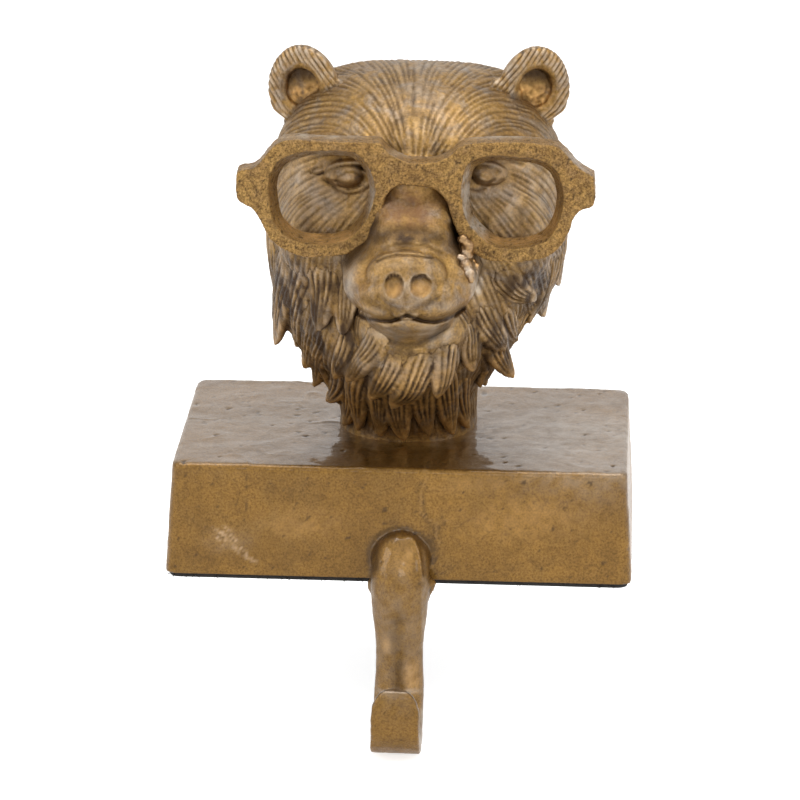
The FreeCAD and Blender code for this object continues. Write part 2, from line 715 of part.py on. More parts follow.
for name, radius in mouth_radii:
    disc = doc.addObject("Part::Cylinder", name)
    bind(disc, Radius=radius, Height="sizes.mouth_groove * 1.4")
    mouth_discs.append(bind_place(disc, "sizes.head_shift", MOUTH_OUT, LIP_LEVEL + " + 0.8"))
hollows.append(take_away("mouth_line", *mouth_discs))
tapped = doc.addObject("Part::Cylinder", "tapped_hole")
bind(tapped, Radius="sizes.screw_diameter / 2 + sizes.tap_clearance", Height="sizes.screw_grip")
bind_place(tapped, "sizes.neck_shift", "sizes.neck_setback", NECK_SEAT)

# One lock of the mane: a leaf outline between two arcs, with an arched back
lock_length = size("lock_width") * 1.9
arc_radius = (lock_length ** 2 / 4 + size("lock_width") ** 2 / 4) / size("lock_width")


def lock_side(name, side):
    post = doc.addObject("Part::Cylinder", name)
    post.Radius = arc_radius
    bind(post, Height="sizes.lock_thickness")
    post.Placement.Base = Vec(0, side * (arc_radius - size("lock_width") / 2), 0)
    return post


lock_back = doc.addObject("Part::Cylinder", "lock_back")
bind(lock_back, Radius="sizes.lock_crown")
lock_back.Height = lock_length
lock_back.Placement = FreeCAD.Placement(Vec(-lock_length / 2, 0, 0), FreeCAD.Rotation(Vec(0, 1, 0), 90))
lock_back.setExpression("Placement.Base.z", "sizes.lock_thickness - sizes.lock_crown")
lock = doc.addObject("Part::MultiCommon", "lock")
lock.Shapes = [lock_side("lock_side_a", 1), lock_side("lock_side_b", -1), lock_back]
doc.recompute()

# Rows of locks: part of the head's height, locks from the front to one side, spacing,
# scale, how far the tips stand out, and how far the locks fan to the sides
LOCK_ROWS = (
    (0.530, (54, 78, 102, 126), 1.55, 6, 8),
    (0.430, (44, 66, 90, 114, 140), 1.35, 12, 5),
    (0.340, (0, 23, 46, 70, 94, 118, 144, 170), 1.12, 16, 3),
    (0.250, (12, 36, 60, 86, 112, 140, 168), 1.00, 22, 0),
    (0.170, (0, 27, 54, 82, 112, 142, 172), 0.92, 26, 0),
    (0.100, (14, 42, 72, 104, 136, 166), 0.80, 24, 0),
)


def lock_copy(part, turn, scale, flare, fan):
    """A lock on the skull at a part of its height, turn degrees round from the front."""
    half, front, back, shift = skull_at(part)
    angle = math.radians(turn)
    across, ahead = math.sin(angle), math.cos(angle)
    depth = (front + back) / 2
    spot = Vec(shift + half * across, (back - front) / 2 - depth * ahead, block_top + part * head_height)
    outward = Vec(across / half, -ahead / depth, 0).normalize()
    lean = math.radians(flare)
    run = outward * math.sin(lean) - Vec(0, 0, math.cos(lean))
    side = Vec(0, 0, 1).cross(outward)
    run = (run + side * math.tan(math.radians(fan)) * math.copysign(1, across)).normalize()
    back_way = run.cross(side).normalize()
    if back_way.dot(outward) < 0:
        back_way = back_way * -1
    side = back_way.cross(run)
    frame_turn = FreeCAD.Matrix(
        run.x, side.x, back_way.x, 0,
        run.y, side.y, back_way.y, 0,
        run.z, side.z, back_way.z, 0,
        0, 0, 0, 1,
    )
    shape = lock.Shape.copy()
    shape.scale(scale, Vec(0, 0, 0))
    sink = spot - back_way * (size("lock_thickness") * scale - size("lock_rise"))
    shape.Placement = FreeCAD.Placement(sink, FreeCAD.Rotation(frame_turn)).multiply(shape.Placement)
    return shape


mane = []
for number, (part, turns, scale, flare, fan) in enumerate(LOCK_ROWS):
    copies = []
    for turn in turns:
        copies.append(lock_copy(part, turn, scale, flare, fan))
        if turn % 180:
            copies.append(lock_copy(part, -turn, scale, flare, fan))
    row_shape = copies[0].multiFuse(copies[1:])
    row = feature(f"lock_row_{number}", row_shape)
    mane.append(row)
doc.recompute()

# The head: hollows cut first, eyes set in, then the frame's seat, the tapped hole and the mane
carved_face = take_away("carved_face", join("face", solids), join("face_hollows", hollows))
eyed_face = carved_face
for solid in late_solids:
    eyed_face = join("face_with_" + solid.Name, [eyed_face, solid])
seated_face = take_away("seated_face", eyed_face, frame)
bored_face = take_away("bored_face", seated_face, tapped)
head = join("bear_head", [bored_face] + mane)
head.Label = "bear_head"
doc.recompute()

# Braze bead: a lumpy run of metal from the spectacles' right rim down to the upper lip
BEAD_RUN = (
    (16.2, 31.2, 55.6, 1.15),
    (15.4, 33.0, 53.0, 1.25),
    (14.4, 34.6, 50.0, 1.3),
    (13.8, 35.4, 47.0, 1.1),
)
lumps = []
for number, (x, out, z, grow) in enumerate(BEAD_RUN):
    lump = doc.addObject("Part::Sphere", f"bead_lump_{number}")
    bind(lump, Radius=f"sizes.bead_radius * {grow}")
    bind_place(lump, f"sizes.head_shift + {x}", f"-{out}", f"{NECK_SEAT} + {z}")
    lumps.append(lump)
bead = take_away("braze_bead", take_away("bead_on_face", join("bead_run", lumps), bored_face), frame)
bead.Label = "braze_bead"
doc.recompute()

nodes = (base, felt, screw, frame, head, bead)
broken = [o.Name for o in doc.Objects if "Invalid" in o.State or "Error" in o.State]
if broken:
    raise RuntimeError("not built: " + ", ".join(broken))
for node in nodes:
    if node.Shape.isNull() or not node.Shape.isValid():
        raise RuntimeError(node.Label + " is not a sound shape")
os.makedirs("parts", exist_ok=True)
for node in nodes:
    node.Shape.exportStep("parts/" + node.Label + ".step")
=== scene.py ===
import bpy
import math
import numpy as np
from mathutils import Matrix, Vector, noise
from mathutils.bvhtree import BVHTree
from mathutils.kdtree import KDTree


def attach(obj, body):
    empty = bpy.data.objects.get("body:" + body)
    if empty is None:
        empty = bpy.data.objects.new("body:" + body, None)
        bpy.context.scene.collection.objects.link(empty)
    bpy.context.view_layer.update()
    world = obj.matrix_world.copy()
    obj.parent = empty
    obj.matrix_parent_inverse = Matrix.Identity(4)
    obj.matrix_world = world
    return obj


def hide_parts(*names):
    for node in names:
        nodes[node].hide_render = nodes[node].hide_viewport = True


# A cast stocking holder in antique brass: block and J hook, bear's head with a carved
# coat, spectacles brazed on. Pieces are shaped in millimetres and brought to metres
# when they are finished.

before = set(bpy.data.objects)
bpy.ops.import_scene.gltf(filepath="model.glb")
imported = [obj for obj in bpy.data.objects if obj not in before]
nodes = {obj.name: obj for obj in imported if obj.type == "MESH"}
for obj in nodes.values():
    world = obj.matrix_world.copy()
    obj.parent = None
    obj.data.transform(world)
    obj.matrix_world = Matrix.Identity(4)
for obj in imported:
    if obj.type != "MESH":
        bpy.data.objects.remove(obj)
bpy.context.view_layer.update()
rng = np.random.default_rng(11)

# Camera: where it stands, in millimetres, and how it looks
EYE = np.array([50.3, -1024.94, 368.15])
HEADING, ROLL, PITCH = math.radians(-2.89), math.radians(-0.50), math.radians(18.0)
FOCAL = 4500.0  # in picture points
MIDDLE = 400.0  # of the picture, across and down
MM, METRE = 0.001, 1000.0


def camera_axes():
    ahead = np.array([
        math.sin(HEADING) * math.cos(PITCH), math.cos(HEADING) * math.cos(PITCH), -math.sin(PITCH)
    ])
    right = np.array([math.cos(HEADING), -math.sin(HEADING), 0.0])
    up = np.cross(right, ahead)
    c, s = math.cos(ROLL), math.sin(ROLL)
    return c * right - s * up, s * right + c * up, ahead


RIGHT, UP, AHEAD = camera_axes()


def line_of_sight(u, v):
    """The way the camera looks through a point of the picture."""
    way = AHEAD + (u - MIDDLE) / FOCAL * RIGHT - (v - MIDDLE) / FOCAL * UP
    return way / np.linalg.norm(way)


def at_depth(u, v, y):
    """The point that a picture point shows on the upright plane at y."""
    way = line_of_sight(u, v)
    return EYE + way * (y - EYE[1]) / way[1]


def look_at(tree, u, v, y=None):
    """Place and normal where a picture point meets a surface, or a plane beside it."""
    way = line_of_sight(u, v)
    hit = tree.ray_cast(Vector(EYE), Vector(way))
    if hit[0] is None or y is not None:
        spot = at_depth(u, v, 0.0 if y is None else y)
        near = tree.find_nearest(Vector(spot))
        return spot, np.array(near[1])
    return np.array(hit[0]), np.array(hit[1])


# Small modelling helpers
def deselect():
    for o in list(bpy.context.selected_objects):
        o.select_set(False)


def only(obj):
    deselect()
    bpy.context.view_layer.objects.active = obj
    obj.select_set(True)
    return obj


def added(name):
    obj = bpy.context.active_object
    obj.name = name
    return obj


def settle(obj):
    """Brings an object's turn, size and place into its mesh."""
    only(obj)
    bpy.ops.object.transform_apply(location=True, rotation=True, scale=True)
    return obj


def blob(centre, radii, turn=(0, 0, 0), segments=32, rings=20):
    """A sphere primitive stretched and turned to its place."""
    deselect()
    bpy.ops.mesh.primitive_uv_sphere_add(segments=segments, ring_count=rings, radius=1.0, location=centre)
    obj = added("blob")
    obj.scale = radii
    obj.rotation_euler = [math.radians(t) for t in turn]
    return settle(obj)


def join(parts, name):
    deselect()
    for o in parts:
        o.select_set(True)
    bpy.context.view_layer.objects.active = parts[0]
    bpy.ops.object.join()
    return added(name)


def modify(obj, kind, **values):
    only(obj)
    mod = obj.modifiers.new(kind.lower(), kind)
    for key, value in values.items():
        setattr(mod, key, value)
    bpy.ops.object.modifier_apply(modifier=mod.name)
    return obj


def remesh(obj, size, smooth=0, amount=0.5):
    modify(obj, "REMESH", mode="VOXEL", voxel_size=size, adaptivity=0.0)
    if smooth:
        modify(obj, "SMOOTH", factor=amount, iterations=smooth)
    return obj


def points_of(obj):
    co = np.empty(len(obj.data.vertices) * 3)
    obj.data.vertices.foreach_get("co", co)
    return co.reshape(-1, 3)


def normals_of(obj):
    no = np.empty(len(obj.data.vertices) * 3)
    obj.data.vertices.foreach_get("normal", no)
    return no.reshape(-1, 3)


def put_points(obj, co):
    obj.data.vertices.foreach_set("co", np.ascontiguousarray(co).ravel())
    obj.data.update()


def tree_of(obj):
    co = points_of(obj)
    faces = [tuple(p.vertices) for p in obj.data.polygons]
    return BVHTree.FromPolygons([Vector(c) for c in co], faces)


def mark(obj, name, values):
    layer = obj.data.attributes.get(name) or obj.data.attributes.new(name, "FLOAT", "POINT")
    layer.data.foreach_set("value", np.ascontiguousarray(values, dtype=np.float32))


def grain(co, size, seed=0.0, octaves=3):
    """Even noise from -1 to 1 at each point, size millimetres to a lump."""
    out = np.empty(len(co))
    for i, c in enumerate(co):
        out[i] = noise.fractal(Vector((c[0] / size + seed, c[1] / size, c[2] / size)), 1.0, 2.0, octaves)
    return out


def seen_at(co):
    """Where points show in the picture."""
    d = co - EYE
    depth = d @ AHEAD
    return MIDDLE + FOCAL * (d @ RIGHT) / depth, MIDDLE - FOCAL * (d @ UP) / depth


def from_line(u, v, line):
    """Distance in the picture from each point to a broken line."""
    best = np.full(len(u), 1e9)
    for (ax, ay), (bx, by) in zip(line[:-1], line[1:]):
        dx, dy = bx - ax, by - ay
        t = np.clip(((u - ax) * dx + (v - ay) * dy) / max(1e-9, dx * dx + dy * dy), 0, 1)
        best = np.minimum(best, np.hypot(u - ax - t * dx, v - ay - t * dy))
    return best


def soft_patch(u, v, middle, radii):
    """One inside an oval of the picture, with a soft edge."""
    (cu, cv), (ru, rv) = middle, radii
    return np.exp(-(((u - cu) / ru) ** 2 + ((v - cv) / rv) ** 2) ** 1.5)


def curl(obj, rounds):
    """How hollow (positive) or ridged (negative) the surface is at each point."""
    co, no = points_of(obj), normals_of(obj)
    n = len(co)
    ends = np.empty(len(obj.data.edges) * 2, dtype=np.int64)
    obj.data.edges.foreach_get("vertices", ends)
    a, b = ends[0::2], ends[1::2]
    count = np.bincount(a, minlength=n) + np.bincount(b, minlength=n)

    def even(values):
        total = np.bincount(a, values[b], n) + np.bincount(b, values[a], n)
        return total / np.maximum(1, count)

    soft = np.stack([even(co[:, i]) for i in range(3)], 1)
    for _ in range(rounds - 1):
        soft = np.stack([even(soft[:, i]) for i in range(3)], 1)
    return ((soft - co) * no).sum(1)


# Skull and snout
SKULL = (
    # height, half width, front, back
    (24, 17.0, 12.0, 24.4), (26.4, 16.9, 11.6, 24.5), (29, 16.3, 11.6, 24.5), (37, 17.0, 15.6, 26.0),
    (42, 18.8, 19.5, 27.4), (48, 23.0, 23.5, 28.8), (56, 28.2, 25.5, 31.0), (66, 33.6, 25.0, 32.3),
    (76, 35.6, 24.6, 32.8), (86, 35.6, 24.0, 32.5), (93, 34.8, 23.8, 32.0), (98, 33.4, 23.4, 31.2),
    (103, 31.0, 21.6, 29.5), (109, 27.8, 16.0, 25.5), (113, 23.4, 9.6, 20.5), (115.4, 17.6, 2.0, 13.4),
    (116.6, 1.0, -6.0, 7.0),
)
HEAD_X = 2.4  # how far the head stands to the right of the block's middle
SKULL_MIDDLE, SKULL_HALF = 70.3, 46.3
SQUARED = 2 / 2.25  # a little squarer than an oval
LEFT_EYE, RIGHT_EYE = np.array([-12.6, -21.0, 95.8]), np.array([18.6, -21.0, 96.4])


def skull_profile(z):
    table = np.array(SKULL)
    return [np.interp(z, table[:, 0], table[:, k]) for k in (1, 2, 3)]


def lean_of(z):
    """How far the skull's middle stands to one side at a height."""
    return np.interp(z, (30, 44, 56, 68), (0.4, -0.3, -0.3, HEAD_X - 0.3))


def make_skull():
    deselect()
    bpy.ops.mesh.primitive_uv_sphere_add(segments=96, ring_count=72, radius=1.0)
    obj = added("skull")
    co = points_of(obj)
    lift = np.arcsin(np.clip(co[:, 2], -1, 1)) / (math.pi / 2)
    z = SKULL_MIDDLE + SKULL_HALF * np.sign(lift) * np.abs(lift) ** 0.9
    turn = np.arctan2(co[:, 1], co[:, 0])
    half, front, back = skull_profile(z)
    across, along = np.cos(turn), np.sin(turn)
    shift = lean_of(z)
    x = shift + half * np.sign(across) * np.abs(across) ** SQUARED
    y = (back - front) / 2 + (front + back) / 2 * np.sign(along) * np.abs(along) ** SQUARED
    pole = np.hypot(co[:, 0], co[:, 1]) < 1e-5
    x[pole], y[pole] = shift[pole], ((back - front) / 2)[pole]
    put_points(obj, np.stack([x, y, z], 1))
    return obj


def rod(start, end, first, last, count=7):
    """A run of balls from one place to another."""
    start, end, first, last = (np.array(t, dtype=float) for t in (start, end, first, last))
    out = []
    for k in range(count):
        t = k / (count - 1)
        centre, radii = start + (end - start) * t, first + (last - first) * t
        out.append(blob(tuple(centre), tuple(radii), segments=24, rings=16))
    return out


def make_core():
    """Skull, brows, cheeks, snout and jaw run together into one soft form."""
    parts = [make_skull()]
    # low brow ridges
    parts.append(blob((HEAD_X - 14.0, -15.0, 101.6), (11.5, 8.0, 4.0), (0, 8, 0)))
    parts.append(blob((HEAD_X + 14.6, -15.0, 102.0), (11.5, 8.0, 4.0), (0, -8, 0)))
    parts.append(blob((HEAD_X, -12.5, 102.0), (9.0, 11.5, 8.0)))
    # cheeks
    parts.append(blob((HEAD_X - 20.0, -11.5, 80.0), (12.5, 12.5, 15.0)))
    parts.append(blob((HEAD_X + 20.4, -11.5, 80.0), (12.5, 12.5, 15.0)))
    # bridge of the snout
    parts += rod((HEAD_X - 4.4, -21.5, 91.0), (HEAD_X - 3.0, -38.2, 77.2), (7.0, 7.4, 7.0), (6.4, 6.6, 6.4))
    parts.append(blob((HEAD_X - 0.2, -23.5, 95.5), (8.6, 6.0, 6.5)))
    parts += rod((HEAD_X + 4.4, -21.5, 91.0), (HEAD_X + 2.4, -38.2, 77.2), (7.0, 7.4, 7.0), (6.4, 6.6, 6.4))
    # lips at the sides and in front
    parts += rod((HEAD_X - 9.4, -24.0, 76.0), (HEAD_X - 8.2, -34.8, 74.8), (7.0, 7.0, 9.0), (7.4, 7.2, 7.6), 4)
    parts += rod((HEAD_X + 9.0, -24.0, 76.0), (HEAD_X + 8.0, -34.8, 75.0), (7.0, 7.0, 9.0), (7.4, 7.2, 7.6), 4)
    parts.append(blob((HEAD_X - 5.4, -39.0, 73.0), (7.0, 6.8, 5.8)))
    parts.append(blob((HEAD_X + 5.0, -39.0, 73.0), (7.0, 6.8, 5.8)))
    # jaw
    parts.append(blob((HEAD_X - 0.2, -31.6, 66.4), (10.6, 9.4, 6.2), (-12, 0, 0)))
    parts.append(blob((HEAD_X - 0.4, -24.0, 54.0), (12.0, 8.0, 10.0), (16, 0, 0)))
    parts.append(blob((HEAD_X, -22.0, 61.0), (14.0, 12.0, 10.0)))
    core = join(parts, "core")
    remesh(core, 0.9, smooth=6, amount=0.55)
    # eye hollows
    co, no = points_of(core), normals_of(core)
    for eye in (LEFT_EYE, RIGHT_EYE):
        d2 = ((co - (eye + np.array([0, -1.5, 0]))) / np.array([8.6, 9.0, 6.4])) ** 2
        co -= no * (2.8 * np.exp(-d2.sum(1) * 1.3))[:, None]
    # saddles in front of the ears
    for x, z in ((HEAD_X - 22.5, 110.0), (HEAD_X + 22.5, 111.0)):
        near = ((co[:, 0] - x) ** 2 + (co[:, 2] - z) ** 2) / 64
        co[:, 2] -= 2.3 * np.exp(-near) * np.clip((10 - co[:, 1]) / 4, 0, 1)
    put_points(core, co)
    # nose pad and chin, kept crisper than the rest
    parts = [core]
    parts.append(blob((HEAD_X - 0.5, -41.4, 78.6), (9.2, 4.4, 5.4), (-22, 0, 0)))
    parts.append(blob((HEAD_X - 0.5, -43.4, 75.2), (7.4, 3.6, 5.6), (-8, 0, 0)))
    parts.append(blob((HEAD_X - 0.4, -44.0, 72.0), (4.2, 2.8, 3.8), (0, 0, 0)))
    parts.append(blob((HEAD_X - 0.1, -36.0, 67.0), (9.6, 6.2, 4.3), (-14, 0, 0)))
    parts += make_eye(LEFT_EYE, -1, 0.94) + make_eye(RIGHT_EYE + np.array([0, 0.8, 0]), 1, 0.8)
    core = join(parts, "core")
    return remesh(core, 0.39, smooth=4, amount=0.5)


def make_eye(eye, side, grow):
    """An eyeball in heavy lids: a ball, and lid rolls round its slit."""
    parts = [blob(eye + np.array([0, 0.9, 0.0]), (3.3 * grow, 2.9, 2.6 * grow))]
    for way in (-1, 1):
        corner = eye + np.array([3.9 * grow * way, 2.0, -way * side * 0.5])
        parts.append(blob(corner, (1.7, 1.7, 1.3), segments=12, rings=8))
    for k in range(17):
        a = math.radians(-16 + 212 * k / 16)
        x, z = 5.2 * grow * math.cos(a), 2.6 * grow * math.sin(a)
        z -= side * 0.13 * x
        upper = eye + np.array([x, 0.9 + 0.09 * x * x, z + 0.4])
        parts.append(blob(upper, (1.2, 1.6, 0.9), segments=12, rings=8))
    for k in range(13):
        a = math.radians(184 + 172 * k / 12)
        x, z = 4.9 * grow * math.cos(a), 2.4 * grow * math.sin(a)
        z -= side * 0.13 * x
        lower = eye + np.array([x, 1.3 + 0.09 * x * x, z])
        parts.append(blob(lower, (1.0, 1.3, 0.7), segments=12, rings=8))
    return parts


core = make_core()
core_tree = tree_of(core)

guides = []


def add_guide(start, end, count, reach):
    start, end = np.array(start), np.array(end)
    way = end - start
    way = way / np.linalg.norm(way)
    for k in range(count):
        guides.append((*(start + (end - start) * k / max(1, count - 1)), *way, reach))


# Locks of the mane: leaves with lengthwise cuts
lock_cuts = []
LOCK_THICKNESS, LONGEST_LOCK = 4.4, 36


def leaf(root, tip, width, rise, free=0.0, cuts=3):
    """A lock of hair laid along the skull, thin at its root and standing proud at a blunt tip."""
    deselect()
    bpy.ops.mesh.primitive_uv_sphere_add(segments=20, ring_count=18, radius=1.0)
    obj = added("lock")
    co = points_of(obj)
    root, tip = np.array(root), np.array(tip)
    length = np.linalg.norm(tip - root)
    # the middle line hugs the skull, and leaves it towards a tip that shows in the outline
    steps = np.linspace(0, 1, 13)
    laid, facing = [], []
    for t in steps:
        chord = root + (tip - root) * t
        hit = core_tree.find_nearest(Vector(chord))
        laid.append(np.array(hit[0]) * (1 - free * t * t) + chord * free * t * t)
        facing.append(np.array(hit[1]))
    laid, facing = np.array(laid), np.array(facing)
    for _ in range(3):
        laid[1:-1] = (laid[:-2] + laid[1:-1] * 2 + laid[2:]) / 4
        facing[1:-1] = (facing[:-2] + facing[1:-1] * 2 + facing[2:]) / 4
    bend = (rng.random() - 0.5) * 0.16 * length

    def place(t, across, proud):
        middle = np.stack([np.interp(t, steps, laid[:, k]) for k in range(3)], 1)
        out = np.stack([np.interp(t, steps, facing[:, k]) for k in range(3)], 1)
        out /= np.linalg.norm(out, axis=1)[:, None]
        side = np.cross((tip - root) / length, out)
        side /= np.linalg.norm(side, axis=1)[:, None]
        body = np.maximum(0, 1 - t ** 2.8) ** 0.55 * np.minimum(1.0, 0.74 + 0.9 * t)
        half = LOCK_THICKNESS / 2 * np.maximum(0, 1 - t ** 3) ** 0.5
        crown = rise * np.minimum(1, t / 0.75) ** 0.9 - 0.5 * (1 - t) ** 3
        sideways = across * width / 2 * body + bend * np.sin(math.pi * t)
        return middle + side * sideways[:, None] + out * (crown - half + proud * half)[:, None]

    t = (co[:, 2] + 1) / 2
    ring = np.sqrt(np.maximum(1e-9, 1 - co[:, 2] ** 2))
    end = np.where(co[:, 2] < 0, np.minimum(1.0, ring * 1.15), 1.0)
    put_points(obj, place(t, co[:, 0] / ring * end, co[:, 1] / ring * end))
    for k in range(cuts):
        spot = (k + 0.5) / cuts * 2 - 1 + 0.12 * (rng.random() - 0.5)
        first, last = 0.05 + 0.2 * rng.random(), 0.86 + 0.1 * rng.random()
        t = np.arange(first, last, 0.22 / length)
        lean = spot * 0.8 * (1 - 0.35 * t)
        lock_cuts.append(place(t, lean, np.sqrt(np.maximum(0, 1 - lean ** 2))))
    return obj


LOCKS = (
    # root and tip in the picture, width, rise, depth of a tip that shows against the background
    (400, 344, 372, 394, 8.2, 2.0, None),
    (418, 352, 412, 400, 7.4, 1.4, None),
    (432, 342, 393, 399, 8.4, 3.0, None),
    (452, 332, 433, 389, 7.4, 2.6, None),
    (463, 312, 469, 367, 7.6, 2.2, None),
    (376, 328, 350, 376, 7.6, 2.2, None),
    (354, 312, 338, 374, 7.0, 1.9, None),
    (407, 372, 404, 437, 8.6, 2.2, None),
    (382, 366, 382, 434, 7.6, 1.7, None),
    (364, 366, 361, 428, 7.4, 1.6, None),
    (426, 378, 428, 433, 7.2, 1.6, None),
    (447, 370, 450, 432, 7.6, 1.8, None),
    (463, 368, 466, 427, 7.0, 1.3, None),
    (348, 364, 347, 424, 7.2, 1.3, None),
    (476, 296, 499, 346, 8.4, 2.2, None),
    (492, 316, 512, 376, 8.2, 2.2, -8.0),
    (480, 332, 493, 380, 7.3, 1.8, None),
    (496, 262, 530, 296, 8.4, 2.2, None),
    (520, 262, 523, 312, 7.7, 1.9, -4.0),
    (540, 258, 543, 315, 8.2, 1.6, 2.0),
    (552, 226, 557, 284, 8.1, 1.3, 4.0),
    (506, 298, 513, 338, 7.0, 1.7, -6.0),
    (284, 246, 279, 342, 11.0, 2.6, -2.0),
    (304, 256, 301, 344, 9.8, 1.9, -6.0),
    (322, 256, 322, 330, 8.6, 2.0, None),
    (341, 262, 345, 334, 7.9, 1.8, None),
    (314, 318, 306, 366, 7.9, 1.7, -4.0),
    (332, 320, 320, 374, 7.7, 1.7, None),
    (324, 348, 314, 386, 7.0, 1.5, -2.0),
    (338, 362, 328, 400, 7.3, 1.4, -2.0),
    (487, 350, 484, 384, 6.4, 1.2, -4.0),
)
# rows of locks round the sides and back: height of the roots, length, width, count, start, lift
ROWS = (
    (88.0, 24.0, 10.0, 12, 82, 1.4),
    (77.0, 22.0, 9.4, 13, 74, 1.9),
    (66.0, 19.0, 8.6, 14, 70, 1.9),
    (56.0, 16.0, 7.8, 14, 66, 1.8),
    (47.5, 13.5, 7.0, 13, 66, 1.6),
    (40.0, 10.0, 6.4, 12, 64, 1.2),
)
LOWEST_RIGHT, LOWEST_LEFT, LOWEST_BACK = 41.5, 35.0, 30.5


def round_skull(z, turn):
    """A point of the skull at a height, turn degrees round from the front."""
    half, front, back = skull_profile(z)
    shift = lean_of(z)
    a = math.radians(turn)
    across, ahead = math.sin(a), math.cos(a)
    x = shift + half * math.copysign(abs(across) ** SQUARED, across)
    y = (back - front) / 2 - (front + back) / 2 * math.copysign(abs(ahead) ** SQUARED, ahead)
    return np.array([x, y, z])


def make_mane():
    parts = []
    for u0, v0, u1, v1, width, rise, depth in LOCKS:
        root = look_at(core_tree, u0, v0)[0]
        tip = look_at(core_tree, u1, v1, depth)[0]
        length = np.linalg.norm(tip - root)
        if length > LONGEST_LOCK:
            root = tip + (root - tip) * LONGEST_LOCK / length
        cuts = 3 if width < 7.5 else 4
        parts.append(leaf(root, tip, width, rise, free=0.0 if depth is None else 0.8, cuts=cuts))
        add_guide(root, tip, 6, 3.0)
    for z, length, width, count, start, rise in ROWS:
        for k in range(count):
            turn = start + (360 - 2 * start) * (k + 0.5 * (rng.random() - 0.5)) / (count - 1)
            size = 1 + 0.25 * (rng.random() - 0.5)
            top = round_skull(z + 2 * (rng.random() - 0.5), turn)
            right, left = turn < 140, turn > 220
            if right and z < 45:
                continue
            lowest = LOWEST_RIGHT if right else LOWEST_LEFT if left else LOWEST_BACK
            low = round_skull(max(lowest, z - length * size), turn + 5 * (rng.random() - 0.5))
            parts.append(leaf(top, low, width * size, rise, cuts=4))
            add_guide(top, low, 5, 4.0)
    mane = join(parts, "mane")
    remesh(mane, 0.42, smooth=1, amount=0.4)
    return mane


mane = make_mane()


def cut_lines(obj, lines, depth):
    """Cuts grooves that fade at both ends where lines run close by, and darkens them."""
    spots = np.concatenate(lines)
    fade = np.concatenate([
        np.minimum(1, 1.35 * np.sin(np.linspace(0.06, math.pi - 0.06, len(line))) ** 0.6) for line in lines
    ])
    tree = KDTree(len(spots))
    for i, spot in enumerate(spots):
        tree.insert(spot, i)
    tree.balance()
    co, no = points_of(obj), normals_of(obj)
    found = [tree.find(c) for c in co]
    away, which = np.array([f[2] for f in found]), np.array([f[1] for f in found])
    k = np.exp(-(away / CUT_WIDTH) ** 2) * fade[which]
    wander = 0.75 + 0.25 * grain(co, 3.0, 4.0, 1)
    put_points(obj, co - no * (depth * k * wander)[:, None])
    return k * np.clip(wander, 0, 1)


CUT_WIDTH, LOCK_CUT, FUR_CUT = 0.42, 0.5, 0.38
mane_hollow = cut_lines(mane, lock_cuts, LOCK_CUT)
mane_skin = 0.10 * grain(points_of(mane), 1.5, 13.0, 3)
put_points(mane, points_of(mane) + normals_of(mane) * mane_skin[:, None])

# Ways the fur lies: lines in the picture, from root to tip
FUR = (
    ((412, 140), (408, 110), (402, 90), (392, 66)), ((400, 145), (395, 120), (385, 95), (365, 72)),
    ((390, 140), (378, 115), (358, 95), (330, 85), (306, 94)),
    ((375, 135), (360, 115), (335, 103), (310, 108), (288, 124)),
    ((360, 135), (345, 122), (325, 118), (300, 126), (284, 134)), ((413, 84), (404, 72), (394, 62)),
    ((413, 84), (422, 72), (432, 62)), ((418, 140), (420, 110), (426, 90), (440, 66)),
    ((430, 145), (438, 115), (455, 92), (480, 72)),
    ((440, 140), (455, 112), (480, 90), (510, 88), (540, 104)),
    ((450, 135), (470, 108), (505, 98), (535, 112), (556, 132)),
    ((460, 138), (480, 115), (505, 108), (530, 118), (554, 138)),
    ((470, 138), (490, 125), (510, 120), (540, 136)), ((340, 158), (318, 160), (296, 166), (280, 180)),
    ((326, 176), (302, 186), (284, 208)), ((340, 196), (314, 206), (294, 230)),
    ((355, 201), (335, 218), (318, 238)), ((364, 206), (352, 226), (342, 246)),
    ((498, 160), (520, 160), (545, 170), (558, 190)), ((505, 176), (530, 186), (552, 212)),
    ((496, 188), (522, 204), (542, 230)), ((484, 196), (502, 216), (520, 238)),
    ((474, 200), (484, 216), (496, 236)), ((285, 236), (275, 290), (278, 335)), ((312, 245), (306, 310)),
    ((340, 250), (336, 310)), ((352, 258), (346, 300), (350, 330)), ((484, 258), (496, 286), (500, 320)),
    ((500, 250), (522, 282)), ((540, 250), (548, 290)),
)
# the same for sides, back and crown: places and ways
FUR_ROUND = (
    (36, 5, 90, 0, 0.55, -0.85), (-32, 5, 90, 0, 0.55, -0.85), (36, 12, 75, 0, 0.35, -0.95),
    (-32, 12, 75, 0, 0.35, -0.95), (30, 18, 100, 0.1, 0.8, -0.6), (-25, 18, 100, -0.1, 0.8, -0.6),
    (2, 33, 90, 0, 0, -1), (18, 30, 92, 0.1, 0, -1), (-14, 30, 92, -0.1, 0, -1), (2, 33, 70, 0, 0, -1),
    (2, 8, 116, 0, 1, 0), (2, 22, 111, 0, 0.8, -0.6), (16, 6, 113, 0.5, 0.85, -0.1),
    (-12, 6, 113, -0.5, 0.85, -0.1), (20, 20, 106, 0.3, 0.8, -0.5), (-16, 20, 106, -0.3, 0.8, -0.5),
    (34, 14, 60, 0, 0.1, -1), (-30, 14, 60, 0, 0.1, -1), (2, 31, 50, 0, 0, -1),
)


def set_guides():
    for line in FUR:
        spots = [look_at(core_tree, u, v)[0] for u, v in line]
        for a, b in zip(spots[:-1], spots[1:]):
            if 0.5 < np.linalg.norm(b - a) < 14:
                add_guide(a, b, 3, 3.6)
    for x, y, z, a, b, c in FUR_ROUND:
        way = np.array([a, b, c]) / np.linalg.norm((a, b, c))
        guides.append((x, y, z, *way, 9.0))


set_guides()
guide_table = np.array(guides)


